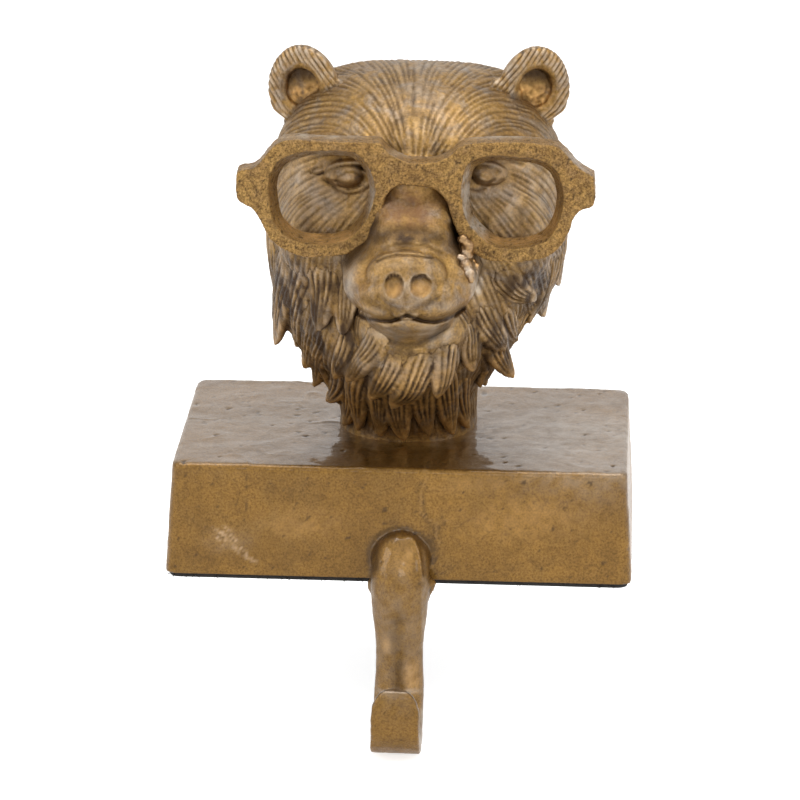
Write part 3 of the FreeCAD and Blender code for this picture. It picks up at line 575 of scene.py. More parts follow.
def lie_of_fur(p):
    d2 = ((guide_table[:, :3] - p) ** 2).sum(1)
    w = np.exp(-d2 / (2 * guide_table[:, 6] ** 2)) + 1e-6 / (1 + d2)
    return w @ guide_table[:, 3:6]


NECK_FOOT = 29.5
EYE_REACH = np.array([6.4, 9, 4.6])


def bare(p):
    """True where the coat is not cut: muzzle, bridge, the neck's foot and the eyes."""
    x, y, z = p
    aside = abs(x - HEAD_X)
    muzzle = y < -27.5 and 58 < z < 92 and aside < 16.5
    bridge = y < -19 and 78 < z < 98.5 and aside < 8.5
    if muzzle or bridge or z < NECK_FOOT:
        return True
    away = [(p - eye) / EYE_REACH for eye in (LEFT_EYE, RIGHT_EYE)]
    return any(d @ d < 1 for d in away)


FUR_SPACING, FUR_STEP, FUR_STARTS = 1.32, 0.40, 30000


def comb():
    """Even, broken lines that follow the lie of the fur all over the head."""
    cells = {}
    lines = []
    co = points_of(core)

    def close(p, limit):
        i, j, k = (int(math.floor(c / FUR_SPACING)) for c in p)
        for a in (i - 1, i, i + 1):
            for b in (j - 1, j, j + 1):
                for c in (k - 1, k, k + 1):
                    for q in cells.get((a, b, c), ()):
                        if (q[0] - p[0]) ** 2 + (q[1] - p[1]) ** 2 + (q[2] - p[2]) ** 2 < limit * limit:
                            return True
        return False

    def run(p, sign, count):
        out = []
        for _ in range(count):
            hit = core_tree.find_nearest(Vector(p))
            p, n = np.array(hit[0]), np.array(hit[1])
            if bare(p) or close(p, 0.66 * FUR_SPACING):
                break
            out.append(p)
            way = lie_of_fur(p) * sign
            way = way - n * way.dot(n)
            size = np.linalg.norm(way)
            if size < 1e-9:
                break
            p = p + way / size * FUR_STEP
        return out

    for index in rng.permutation(len(co))[:FUR_STARTS]:
        p = co[index]
        if bare(p) or close(p, 0.92 * FUR_SPACING):
            continue
        count = int(20 + 44 * rng.random())
        line = run(p, -1, count)[::-1] + run(p, 1, count)[1:]
        if len(line) < 6:
            continue
        for q in line[::2]:
            cells.setdefault(tuple(int(math.floor(c / FUR_SPACING)) for c in q), []).append(tuple(q))
        lines.append(np.array(line))
    return lines


def finer(line, step=0.2):
    """The same line with more points on it."""
    gaps = np.linalg.norm(np.diff(line, axis=0), axis=1)
    along = np.concatenate([[0], np.cumsum(gaps)])
    at = np.arange(0, along[-1], step)
    return np.stack([np.interp(at, along, line[:, k]) for k in range(3)], 1)


CLEANED_DOWN_TO = 265  # in the picture


def carve_coat():
    """Cuts the coat, gives the head its cast skin, and leaves less dirt in the lines of cheeks and brow."""
    hollow = cut_lines(core, [finer(line) for line in comb()], FUR_CUT)
    co = points_of(core)
    skin = 0.085 * grain(co, 1.5, 12.0, 3)
    v = seen_at(co)[1]
    cleaned = 0.42 + 0.38 * np.clip(0.5 + grain(co, 9.0, 14.0, 2), 0, 1)
    in_front = np.clip((10 - co[:, 1]) / 10, 0, 1) * np.clip((CLEANED_DOWN_TO - v) / 20, 0, 1)
    put_points(core, co + normals_of(core) * skin[:, None])
    return hollow * (0.75 + (cleaned - 0.75) * in_front)


core_hollow = carve_coat()

# Lines and hollows of the face, as they show from the front: line, depth, width, darkness
FACE = (
    # mouth
    (((347, 297), (351, 307), (358, 314), (368, 319), (381, 321), (391, 321), (400, 318), (407, 315), (414, 318),
      (424, 321), (434, 322), (445, 320), (455, 315), (464, 308)), 1.1, 1.9, 0.9),
    # lower edge of the nose pad
    (((378, 297), (388, 304), (398, 310), (408, 313), (416, 310), (426, 304), (437, 298)), 0.7, 3.6, 0.3),
    # under the left of the pad
    (((364, 300), (374, 303), (386, 309), (396, 314)), 0.9, 5.0, 0.4),
    # creases across the bridge; the second, a wide dark band at its foot, is painted shade
    (((377, 261), (386, 257), (395, 255), (408, 255), (420, 256), (433, 258)), 0.4, 1.3, 0.6),
    (((376, 238), (388, 233), (404, 231), (422, 232), (440, 238)), 0.6, 6.0, 0.62),
    (((380, 250), (394, 246), (410, 245), (428, 247), (442, 252)), 0.35, 2.2, 0.4),
    # hollows at both sides of the bridge, darkened as painted shade
    (((346, 262), (353, 255), (361, 246), (368, 235), (374, 222)), 1.1, 5.5, 0.75),
    (((453, 226), (457, 238), (460, 250), (462, 262)), 1.1, 4.0, 0.75),
    # lower edge of the chin
    (((372, 330), (384, 339), (396, 344), (408, 346), (420, 344), (434, 337), (446, 328)), 0.9, 3.2, 0.6),
    # lids and creases of the eyes
    (((311, 173), (320, 174), (333, 168), (345, 165), (358, 166), (367, 170)), 0.6, 1.8, 0.42),
    (((322, 179), (330, 184), (338, 190), (348, 193), (360, 191), (369, 185)), 0.4, 1.7, 0.35),
    (((336, 181), (340, 186), (348, 189), (356, 188), (361, 184)), 0.35, 1.4, 0.45),
    (((338, 177), (346, 172), (354, 172), (361, 177)), 0.35, 1.4, 0.4),
    (((470, 169), (480, 164), (492, 166), (500, 171)), 0.5, 2.0, 0.35),
    (((468, 188), (478, 190), (486, 187), (494, 180)), 0.3, 1.8, 0.25),
    (((472, 178), (480, 175), (488, 178)), 0.25, 1.4, 0.2),
)
PITS = (
    # nostrils: middle, radii, depth, how bright the painted light on their lower walls is
    (394, 286, 10.5, 13.5, 1.9, 0.6), (421, 286, 12.0, 13.0, 1.9, 0.6),
)


def cut_face(obj, hollow):
    co, no = points_of(obj), normals_of(obj)
    u, v = seen_at(co)
    facing = np.clip(-(no @ AHEAD) * 3 + 0.4, 0, 1) * (co[:, 1] < 2)
    rubbed, move, pit, pit_shade = (np.zeros(len(co)) for _ in range(4))
    for line, depth, width, dark in FACE:
        k = np.exp(-(from_line(u, v, line) / width) ** 2) * facing
        move += depth * k
        hollow = np.maximum(hollow, dark * k ** 0.7)
    for cu, cv, ru, rv, depth, shine in PITS:
        r2 = ((u - cu) / ru) ** 2 + ((v - cv) / rv) ** 2
        k = np.clip(1 - r2, 0, 1) * facing
        move += depth * k
        # painted light on each nostril's lower wall, painted shade under its upper rim
        low = np.clip((v - cv) / rv * 1.4 + 0.75, 0, 1)
        rubbed = np.maximum(rubbed, shine * np.clip(k * 1.6, 0, 1) * low)
        shade = 0.9 * np.clip(k * 5, 0, 1) * np.clip(1.5 - k * 1.6, 0, 1) * (1 - low)
        pit = np.maximum(pit, k)
        pit_shade = np.where(k > 0.02, np.maximum(shade, 0.1 * (1 - low)), pit_shade)
    put_points(obj, co + AHEAD * move[:, None])
    return hollow, rubbed, pit, pit_shade


core_hollow, core_rubbed, core_pit, pit_shade = cut_face(core, core_hollow)


def patina(obj, hollow, near, tight, dirt=7.0):
    """Adds the dark of hollow places and of seams beside another piece to the cut lines."""
    bend = curl(obj, 3)
    hollow = np.maximum(hollow, np.clip(bend * dirt, 0, 0.95))
    ridge = np.clip(-bend * 5.0, 0, 1)
    for index, (spot, out) in enumerate(zip(points_of(obj), normals_of(obj))):
        hit = near.find_nearest(Vector(spot), 2.5)
        if hit[0] is None:
            continue
        # no seam where the two surfaces run into each other, one just over the other
        above = (np.array(hit[0]) - spot) @ out / max(hit[3], 0.02)
        dark = 0.85 * math.exp(-(hit[3] / tight) ** 2) * min(1.0, max(0.0, 0.75 + above))
        hollow[index] = max(hollow[index], dark)
    return hollow, ridge


def grime_and_shade(obj, hollow, places):
    """Dull brown patches darkened into the coat: dirt, and painted shade at the foot of the bridge and beside the
    snout.
    """
    u, v = seen_at(points_of(obj))
    cloudy = np.clip(0.6 + 1.1 * grain(points_of(obj) * np.array([1, 1, 0.35]), 2.6, 7.0, 3), 0, 1)
    cloudy *= np.clip((14 - points_of(obj)[:, 1]) / 10, 0, 1)
    for cu, cv, ru, rv, strength in places:
        hollow = np.maximum(hollow, strength * soft_patch(u, v, (cu, cv), (ru, rv)) * cloudy)
    return hollow


GRIME_AND_SHADE = (
    # middle, radii, strength: dirt in the upper mane, beard, brow and chin, and painted shade at the foot of the
    # bridge and in the hollow beside it
    (300, 296, 46, 54, 1.0), (332, 345, 34, 44, 0.95), (530, 286, 36, 36, 0.85), (400, 415, 74, 26, 0.5),
    (492, 345, 30, 44, 0.75), (490, 270, 16, 20, 0.5), (418, 352, 40, 12, 0.6), (372, 372, 20, 30, 0.5),
    (452, 372, 18, 30, 0.45), (404, 284, 44, 26, 0.34), (412, 92, 20, 22, 0.3), (360, 250, 10, 14, 0.5),
    (411, 237, 40, 13, 0.82), (412, 262, 30, 6, 0.3), (352, 98, 28, 12, 0.34), (322, 122, 30, 8, 0.25),
    (500, 88, 20, 10, 0.25), (384, 300, 14, 8, 0.4), (440, 300, 16, 8, 0.3), (400, 330, 16, 10, 0.35),
    (545, 292, 16, 16, 0.5), (404, 336, 34, 9, 0.22), (330, 240, 40, 14, 0.3), (350, 300, 10, 18, 0.25),
    (520, 214, 14, 12, 0.45),
)
mane_tree = tree_of(mane)
core_hollow, core_ridge = patina(core, core_hollow, mane_tree, 1.1, 3.6)
core_hollow = np.where(core_pit > 0.04, pit_shade, core_hollow)
mane_hollow, mane_ridge = patina(mane, mane_hollow, tree_of(core), 0.9)
# the gaps between whole locks, wider than the cuts in them
mane_gaps, core_gaps = curl(mane, 14), curl(core, 10)
mane_hollow *= 0.72 + 0.4 * np.clip(0.5 + 1.2 * grain(points_of(mane), 5.0, 21.0, 2), 0, 1)
mane_hollow = np.maximum(mane_hollow, np.clip(mane_gaps * 3.4 - 0.12, 0, 0.95))
core_hollow = np.maximum(core_hollow, np.clip(core_gaps * 1.6 - 0.2, 0, 0.6) * (core_pit < 0.04))
# dirt, and painted shade at the foot of the bridge and beside the snout, darkened into both pieces
core_hollow, mane_hollow = grime_and_shade(core, core_hollow, GRIME_AND_SHADE), grime_and_shade(mane, mane_hollow, GRIME_AND_SHADE)


# Ears: cups with a thick rolled rim, hair cut across it
def make_ear(name, side, place, grow):
    """A broad flat rim round a deep cup, with short slanting cuts all round the rim."""
    deselect()
    bpy.ops.mesh.primitive_torus_add(
        major_segments=64, minor_segments=20, major_radius=6.9, minor_radius=2.6, location=(0, 0, 0)
    )
    rim = added("rim")
    rim.scale = (1.0, 1.07, 1.1)
    settle(rim)
    parts = [rim, blob((0, 0, -2.0), (8.2, 8.6, 1.9)), blob((-side * 1.5, -7.6, -1.0), (6.0, 3.6, 2.8))]
    parts.append(blob((-side * 8.0, -3.4, -0.4), (5.6, 5.0, 2.8)))
    parts.append(blob((side * 3.5, -9.0, -0.6), (5.0, 4.0, 2.8)))
    ear = join(parts, "ear")
    remesh(ear, 0.33, smooth=4, amount=0.5)
    co, no = points_of(ear), normals_of(ear)
    # the rim is flatter in front than a ring
    co[:, 2] = np.where(co[:, 2] > 1.1, 1.1 + 0.5 * (co[:, 2] - 1.1), co[:, 2])
    r = np.hypot(co[:, 0], co[:, 1] / 1.05)
    rough = grain(co, 1.3, 5.0, 2)
    slant = co[:, 0] * -side * 0.86 + co[:, 1] * 0.5
    front = np.clip(co[:, 2] + 1.4, 0, 1) * np.clip((r - 5.4) / 0.9, 0, 1)
    wave = 0.5 + 0.5 * np.cos(2 * math.pi * slant / 1.25 + 1.3 * grain(co, 4.0, 3.0, 1))
    cut = wave ** 3 * front * np.clip(0.75 + 0.35 * grain(co, 2.2, 8.0, 1), 0, 1)
    inside = np.clip((5.2 - r) / 1.2, 0, 1) * (co[:, 2] > -2.4)
    co -= no * (0.38 * cut)[:, None]
    co += no * (0.30 * inside * rough + 0.08 * front * rough)[:, None]
    hollow = np.clip(cut * 0.8, 0, 0.8)
    deep = inside * np.clip((co[:, 1] + 1.0) / 4.0, 0, 1)
    # bright gold inside the cup, most towards its front, and a little on the rim's front
    rubbed = 0.9 * inside * np.clip(1 - deep * 1.2, 0, 1) * np.clip(0.5 + 0.9 * rough, 0, 1) + 0.12 * front
    # upright, turned outwards and leaning a little
    co = np.stack([co[:, 0], -co[:, 2], co[:, 1]], 1) * grow
    co[:, 0] *= 1 - 0.008 * (co[:, 2] + 9)
    # the outer edge runs in towards the cheek at its foot
    co[:, 0] -= side * 0.5 * np.clip(-co[:, 2] - 4.5, 0, 6) * np.clip(side * co[:, 0] / 5, 0, 1)
    tilt = side * math.radians(9)
    c, s = math.cos(tilt), math.sin(tilt)
    co = np.stack([co[:, 0] * c + co[:, 2] * s, co[:, 1], co[:, 2] * c - co[:, 0] * s], 1)
    c, s = math.cos(math.radians(side * 17)), math.sin(math.radians(side * 17))
    co = np.stack([co[:, 0] * c - co[:, 1] * s, co[:, 0] * s + co[:, 1] * c, co[:, 2]], 1)
    put_points(ear, co + np.array(place))
    hollow = np.maximum(hollow, 0.75 * deep)
    near = np.array([core_tree.find_nearest(Vector(c), 3.0)[3] or 3.0 for c in points_of(ear)])
    hollow = np.maximum(hollow, 0.5 * np.exp(-(near / 0.7) ** 2))
    # the last value is a pale painted highlight on the rim's front, between the cuts
    return ear, name, hollow, rubbed, 0.5 * front * (1 - cut) * np.clip(0.5 + rough, 0, 1)


left_ear = make_ear("left_ear", -1, (HEAD_X - 27.2, 2.6, 110.6), 1.02)
right_ear = make_ear("right_ear", 1, (HEAD_X + 26.9, 2.6, 111.7), 0.99)

# Spectacles: outlines about their middle, front plane; the lens openings narrow to the back
FRAME_X = 3.0
FRAME_FRONT, LAYERS, LAYER_STEP, LAYER_DEPTH, LAYER_EDGE = -31.0, 5, 1.25, 1.55, 0.25
LENS_TAPER, LENS_DROP = np.array([1.5, 1.6]), 0.7
OUTER_LEFT = (
    (1.8, 102.0), (5.3, 103.6), (7.5, 105.7), (9.0, 106.3), (17.9, 106.4), (23.6, 106.5), (28.1, 106.7),
    (31.0, 105.9), (33.2, 104.2), (35.5, 101.2), (37.2, 99.7), (40.4, 99.0), (40.9, 98.2), (41.0, 93.1),
    (39.8, 91.4), (37.3, 90.0), (35.8, 87.9), (34.1, 84.4), (32.7, 82.3), (29.2, 80.0), (25.2, 78.7),
    (20.6, 78.9), (16.0, 79.5), (12.9, 81.0), (9.8, 84.1), (8.0, 87.7), (7.2, 90.9), (6.4, 93.6),
    (5.0, 95.4), (3.3, 96.2),
)
OUTER_RIGHT = (
    (3.5, 101.9), (7.0, 103.0), (10.4, 105.9), (13.7, 106.7), (24.1, 107.1), (31.7, 106.5), (34.2, 105.1),
    (37.3, 101.7), (40.7, 99.6), (41.2, 98.6), (41.2, 92.9), (38.2, 91.3), (36.4, 89.0), (35.6, 86.1),
    (33.7, 82.6), (30.7, 80.1), (24.6, 78.7), (18.4, 78.7), (15.3, 79.6), (12.2, 82.1), (10.0, 85.2),
    (8.4, 89.3), (7.3, 92.8), (5.0, 95.3), (2.8, 96.0),
)
LENS_LEFT = (
    (15.0, 103.9), (23.6, 103.9), (27.5, 103.2), (30.7, 101.6), (32.7, 98.9), (33.5, 95.4), (33.1, 90.9),
    (32.1, 86.8), (29.2, 83.6), (24.9, 82.2), (19.2, 82.1), (14.9, 83.7), (12.0, 86.7), (10.3, 90.0),
    (9.2, 94.2), (9.3, 96.5), (10.4, 100.0), (12.4, 102.6),
)
LENS_RIGHT = (
    (15.0, 103.2), (18.0, 103.7), (24.1, 103.5), (28.7, 102.8), (31.8, 101.0), (33.4, 97.9), (34.0, 93.4),
    (33.0, 88.3), (30.6, 84.4), (26.0, 82.4), (21.4, 82.0), (17.7, 82.8), (14.0, 86.0), (11.8, 89.4),
    (11.0, 94.8), (11.4, 99.2), (12.5, 101.8),
)


def round_loop(loop, count=140):
    """The same closed outline with its corners eased."""
    p = np.array(loop, dtype=float)
    n = len(p)
    out = []
    for k in range(count):
        f = k / count * n
        i, t = int(f), f - int(f)
        a, b, c, d = p[(i - 1) % n], p[i % n], p[(i + 1) % n], p[(i + 2) % n]
        square, cube = 2 * a - 5 * b + 4 * c - d, 3 * b - a - 3 * c + d
        out.append(0.5 * (2 * b + (c - a) * t + square * t * t + cube * t ** 3))
    return np.array(out)


def plate(name, loops, y0, y1, bevel):
    """A flat curve with openings, thickened between two upright planes."""
    curve = bpy.data.curves.new(name, "CURVE")
    curve.dimensions = "2D"
    curve.fill_mode = "BOTH"
    curve.extrude = (y1 - y0) / 2 - bevel
    curve.bevel_depth, curve.offset = bevel, -bevel
    for loop in loops:
        spline = curve.splines.new("POLY")
        spline.points.add(len(loop) - 1)
        for point, (x, z) in zip(spline.points, loop):
            point.co = (x, z, 0, 1)
        spline.use_cyclic_u = True
    obj = bpy.data.objects.new(name, curve)
    bpy.context.scene.collection.objects.link(obj)
    obj.rotation_euler = (math.pi / 2, 0, 0)
    obj.location = (0, (y0 + y1) / 2, 0)
    only(obj)
    bpy.ops.object.convert(target="MESH")
    return settle(bpy.context.active_object)


def make_spectacles():
    left = [(FRAME_X - x, z) for x, z in OUTER_LEFT]
    right = [(FRAME_X + x, z) for x, z in OUTER_RIGHT]
    outer = round_loop(left[::-1] + right, 420)
    lens = (
        round_loop([(FRAME_X - x, z) for x, z in LENS_LEFT]), round_loop([(FRAME_X + x, z) for x, z in LENS_RIGHT])
    )
    layers = []
    for k in range(LAYERS):
        t = k / (LAYERS - 1)
        holes = []
        for loop in lens:
            low, high = loop.min(0), loop.max(0)
            middle = (low + high) / 2
            shrink = 1 - t * LENS_TAPER / ((high - low) / 2)
            holes.append(middle + (loop - middle) * shrink + np.array([0, -LENS_DROP * t]))
        y = FRAME_FRONT + LAYER_STEP * k
        layers.append(plate("layer", [outer] + holes, y, y + LAYER_DEPTH, LAYER_EDGE))
    obj = join(layers, "spectacles_form")
    remesh(obj, 0.36, smooth=4, amount=0.5)
    co, no = points_of(obj), normals_of(obj)
    lumps = grain(co, 1.1, 2.0, 3)
    pits = np.clip(-grain(co, 0.8, 7.0, 2) - 0.32, 0, 1)
    front = np.clip(-no[:, 1], 0, 1)
    co += no * (0.13 * lumps - 0.35 * pits * (0.3 + 0.7 * front))[:, None]
    put_points(obj, co)
    hollow = np.clip(pits * 2.0, 0, 0.65)
    return obj, hollow


spectacles, spectacles_hollow = make_spectacles()


# Block and hook: the casting's own form with the marks of its pouring
def copy_of(node, name):
    """A piece of its own from a part of the frame, in millimetres, its doubled points merged."""
    mesh = nodes[node].data.copy()
    obj = bpy.data.objects.new(name, mesh)
    bpy.context.scene.collection.objects.link(obj)
    obj.matrix_world = nodes[node].matrix_world.copy()
    settle(obj)
    obj.data.materials.clear()
    put_points(obj, points_of(obj) * METRE)
    only(obj)
    bpy.ops.object.mode_set(mode="EDIT")
    bpy.ops.mesh.select_all(action="SELECT")
    bpy.ops.mesh.remove_doubles(threshold=0.001)
    bpy.ops.object.mode_set(mode="OBJECT")
    return obj


CRACKS = (
    # raised pouring lines on the block's front: line in the picture, height, width
    (((424, 466), (426, 480), (421, 492), (420, 510), (426, 518), (436, 522), (436, 536), (440, 546)), 0.28, 1.1),
    (((436, 522), (448, 520)), 0.22, 1.0),
    (((204, 527), (212, 535), (225, 541), (236, 552)), 0.16, 1.0),
    (((298, 512), (303, 527)), 0.14, 1.0),
)
SCRATCHES = (
    # fine lines of the scratched patch on the block's front
    ((213, 527), (222, 534), (227, 541)), ((222, 532), (231, 541), (240, 552)), ((229, 534), (236, 540)),
    ((232, 546), (243, 556), (252, 560)), ((240, 548), (247, 553)), ((216, 536), (224, 545)),
    ((224, 526), (230, 531)), ((246, 556), (256, 562)),
)
DENTS = (
    # middle in the picture, radius, depth
    (385, 510, 1.8, 0.5), (524, 483, 2.2, 0.5), (330, 518, 1.2, 0.3), (196, 404, 1.5, 0.3),
    (484, 397, 2.0, 0.4), (572, 530, 1.3, 0.3),
)


BLOCK_TOP, HOOK_BACK, WEB_Y = 24.0, -34.0, -35.2
WEBS = (
    # webs that the metal left between block and hook: middle in the picture, reach
    (433, 583.5, 0.9), (430.5, 586, 1.2), (428, 590, 1.2), (426.5, 595, 1.0), (425, 600, 0.8),
    (370.5, 584, 0.9), (371.5, 588, 0.9),
)
BOSS_MIDDLE, BOSS_REACH, BOSS_FOOT = (400, 555), 26, 582
BOSS_RIDGE = ((410, 538), (414, 544), (417, 552), (419, 562), (420, 578))


def make_block():
    parts = [copy_of("base_casting", "block_form")]
    for u, v, reach in WEBS:
        parts.append(blob(tuple(at_depth(u, v, WEB_Y)), (reach, 1.0, 1.3 * reach), segments=16, rings=12))
    obj = join(parts, "block_form")
    remesh(obj, 0.62, smooth=2, amount=0.4)
    co, no = points_of(obj), normals_of(obj)
    keep = (co[:, 2] < 2.2) & (co[:, 1] > -33.5)
    u, v = seen_at(co)
    facing = (no @ AHEAD < 0.1) & ~keep
    lift = 0.10 * grain(co, 9.0, 1.0, 2) + 0.05 * grain(co, 1.8, 6.0, 2)
    hook = np.clip((HOOK_BACK - co[:, 1]) / 2, 0, 1)
    lift += hook * 0.10 * grain(co, 2.4, 5.0, 3)
    cracks = np.zeros(len(co))
    for line, high, width in CRACKS:
        cracks = np.maximum(cracks, np.exp(-(from_line(u, v, line) / width) ** 2) * high / 0.28 * facing)
    lift += 0.30 * cracks
    lift += 0.55 * np.exp(-(from_line(u, v, BOSS_RIDGE) / 3.0) ** 2) * (facing & (v < BOSS_FOOT))
    worn = np.zeros(len(co))
    for line in SCRATCHES:
        worn = np.maximum(worn, np.exp(-(from_line(u, v, line) / 1.3) ** 2) * facing)
    worn *= np.clip(0.6 + 0.8 * grain(co, 1.2, 15.0, 2), 0, 1)
    lift += 0.10 * worn
    dents = np.zeros(len(co))
    for cu, cv, r, deep in DENTS:
        dents = np.maximum(dents, np.exp(-(np.hypot(u - cu, v - cv) / r) ** 2) * deep / 0.5 * facing)
    lift -= 0.5 * dents
    top = np.clip(no[:, 2] * 3 - 2, 0, 1)
    # skin lines that the metal left as it set, and a few pinholes
    swirl, where = grain(co, 15.0, 3.0, 2), np.clip(grain(co, 22.0, 8.0, 1) * 2.2, 0, 1)
    skin = np.exp(-(swirl / 0.035) ** 2) * where
    uneven = 0.10 * grain(co, 6.0, 6.0, 2) + 0.14 * grain(co, 13.0, 16.0, 1)
    lift += top * (uneven + 0.24 * skin) - (1 - top) * 0.10 * skin
    pinholes = np.clip(grain(co, 1.7, 9.0, 2) - 0.66, 0, 1) * 3
    lift -= 0.4 * pinholes
    dents = np.maximum(dents, pinholes)
    co += no * np.where(keep, 0, lift)[:, None]
    # the back wall stands almost upright
    co[:, 1] += (1.0 + 2.0 * np.clip(co[:, 2] / BLOCK_TOP, 0, 1)) * np.clip((co[:, 1] - 14) / 12, 0, 1)
    put_points(obj, co)
    bend = curl(obj, 3)
    seams = np.clip(bend * 9 - 0.1, 0, 0.75) * ~keep * np.where((co[:, 2] < -2) & (co[:, 2] > -22), 0.25, 1.0)
    boss = np.exp(-(np.hypot(u - BOSS_MIDDLE[0], v - BOSS_MIDDLE[1]) / BOSS_REACH) ** 2) * facing
    gloss = np.clip(top + 0.32 + 0.3 * boss - 0.08 * hook, 0, 1)
    return obj, np.maximum(dents, seams), np.maximum(cracks * 0.1, worn), gloss


block, block_hollow, block_ridge, block_gloss = make_block()


# Felt with a frayed edge
FELT_X, FELT_Y, FELT_MIDDLE = 54, 32, 0.6  # half width, half depth, height of its middle
FIBRES, HOOK_X, HOOK_HALF = 150, 0.8, 9


def make_felt():
    parts = [copy_of("felt_pad", "felt_form")]
    for _ in range(FIBRES):
        run = rng.random() * 4 * (FELT_X + FELT_Y)
        if run < 4 * FELT_X:
            x, y = run % (2 * FELT_X) - FELT_X, -FELT_Y if run < 2 * FELT_X else FELT_Y
            out = np.array([0.0, math.copysign(1, y), -0.2])
        else:
            run -= 4 * FELT_X
            x, y = -FELT_X if run < 2 * FELT_Y else FELT_X, run % (2 * FELT_Y) - FELT_Y
            out = np.array([math.copysign(1.0, x), 0, -0.2])
        spot = np.array([x, y, FELT_MIDDLE])
        along = np.cross(out, (0, 0, 1)) * (rng.random() - 0.5) * 2
        way = out + along
        way = way / np.linalg.norm(way) * (0.7 + 0.9 * rng.random())
        # none where the hook leaves the block
        if abs(spot[0] - HOOK_X) < HOOK_HALF and spot[1] < 0:
            continue
        deselect()
        bpy.ops.mesh.primitive_cone_add(vertices=5, radius1=0.16, radius2=0.03, depth=1.0, location=(0, 0, 0))
        fibre = added("fibre")
        fibre.scale = (1, 1, float(np.linalg.norm(way)) + 0.6)
        fibre.rotation_euler = Vector(way).to_track_quat("Z", "Y").to_euler()
        fibre.location = spot + way * 0.35 - np.array([0, 0, 0.3 * rng.random()])
        parts.append(settle(fibre))
    return join(parts, "felt")


felt = make_felt()


BEAD = (
    # place in the picture, depth, or none where it lies on the snout, and radius
    (463, 240, -32.0, 1.3), (467, 246, -32.2, 1.5), (466, 254, -32.4, 1.6), (463, 260, None, 1.3),
    (466, 266, None, 1.5), (469, 273, None, 1.3), (471, 279, None, 0.9), (460, 258, None, 0.9),
    (471, 267, -32.2, 1.2), (466, 249, -30.5, 2.0), (469, 268, -31.0, 2.4),
)
BEAD_PALE = ((463, 259, 7, 8, 0.8), (470, 272, 8, 8, 0.75))


def make_bead():
    """The rough braze between a lens rim and the snout."""
    parts = []
    face_tree = tree_of(core)
    for u, v, y, r in BEAD:
        spot = at_depth(u, v, y) if y is not None else look_at(face_tree, u, v)[0] - AHEAD * 0.3
        parts.append(blob(tuple(spot), (r, r, r * 1.1), segments=16, rings=12))
    bead = join(parts, "bead")
    remesh(bead, 0.22, smooth=5, amount=0.5)
    co, no = points_of(bead), normals_of(bead)
    put_points(bead, co + no * (0.26 * grain(co, 1.1, 3.0, 3))[:, None])
    return bead


bead = make_bead()


# Finishes
def material(name):
    mat = bpy.data.materials.new(name)
    mat.use_nodes = True
    nt = mat.node_tree
    nt.nodes.clear()
    out = nt.nodes.new("ShaderNodeOutputMaterial")
    bsdf = nt.nodes.new("ShaderNodeBsdfPrincipled")
    nt.links.new(bsdf.outputs[0], out.inputs[0])
    return mat, nt, bsdf


def ranged(nt, source, low, high, to_low=0.0, to_high=1.0):
    m = nt.nodes.new("ShaderNodeMapRange")
    for socket, value in zip(m.inputs[1:5], (low, high, to_low, to_high)):
        socket.default_value = value
    nt.links.new(source, m.inputs[0])
    return m.outputs[0]


def mixed(nt, factor, a, b):
    m = nt.nodes.new("ShaderNodeMix")
    m.data_type = "RGBA"
    for socket, value in ((m.inputs[0], factor), (m.inputs[6], a), (m.inputs[7], b)):
        if hasattr(value, "is_output"):
            nt.links.new(value, socket)
        elif isinstance(value, tuple):
            socket.default_value = (*value, 1.0)
        else:
            socket.default_value = value
    return m.outputs[2]


def cloud(nt, coords, scale, detail=4.0, rough=0.6, distort=0.0):
    n = nt.nodes.new("ShaderNodeTexNoise")
    for socket, value in (("Scale", scale), ("Detail", detail), ("Roughness", rough), ("Distortion", distort)):
        n.inputs[socket].default_value = value
    nt.links.new(coords, n.inputs["Vector"])
    return n.outputs["Fac"]


def painted(nt, name):
    n = nt.nodes.new("ShaderNodeAttribute")
    n.attribute_name = name
    return n.outputs["Fac"]


def bumped(nt, bsdf, heights):
    last = None
    for height, strength, distance in heights:
        b = nt.nodes.new("ShaderNodeBump")
        b.inputs["Strength"].default_value = strength
        b.inputs["Distance"].default_value = distance
        nt.links.new(height, b.inputs["Height"])
        if last is not None:
            nt.links.new(last.outputs[0], b.inputs["Normal"])
        last = b
    nt.links.new(last.outputs[0], bsdf.inputs["Normal"])


# colours of the painted marks: bright gold for wear and painted highlights, dull copper, and pale grey mostly for
# painted highlights and sheen
WEAR_AND_HIGHLIGHT_GOLD, COPPERED, PALED = (0.62, 0.36, 0.13), (0.215, 0.11, 0.05), (0.58, 0.53, 0.46)


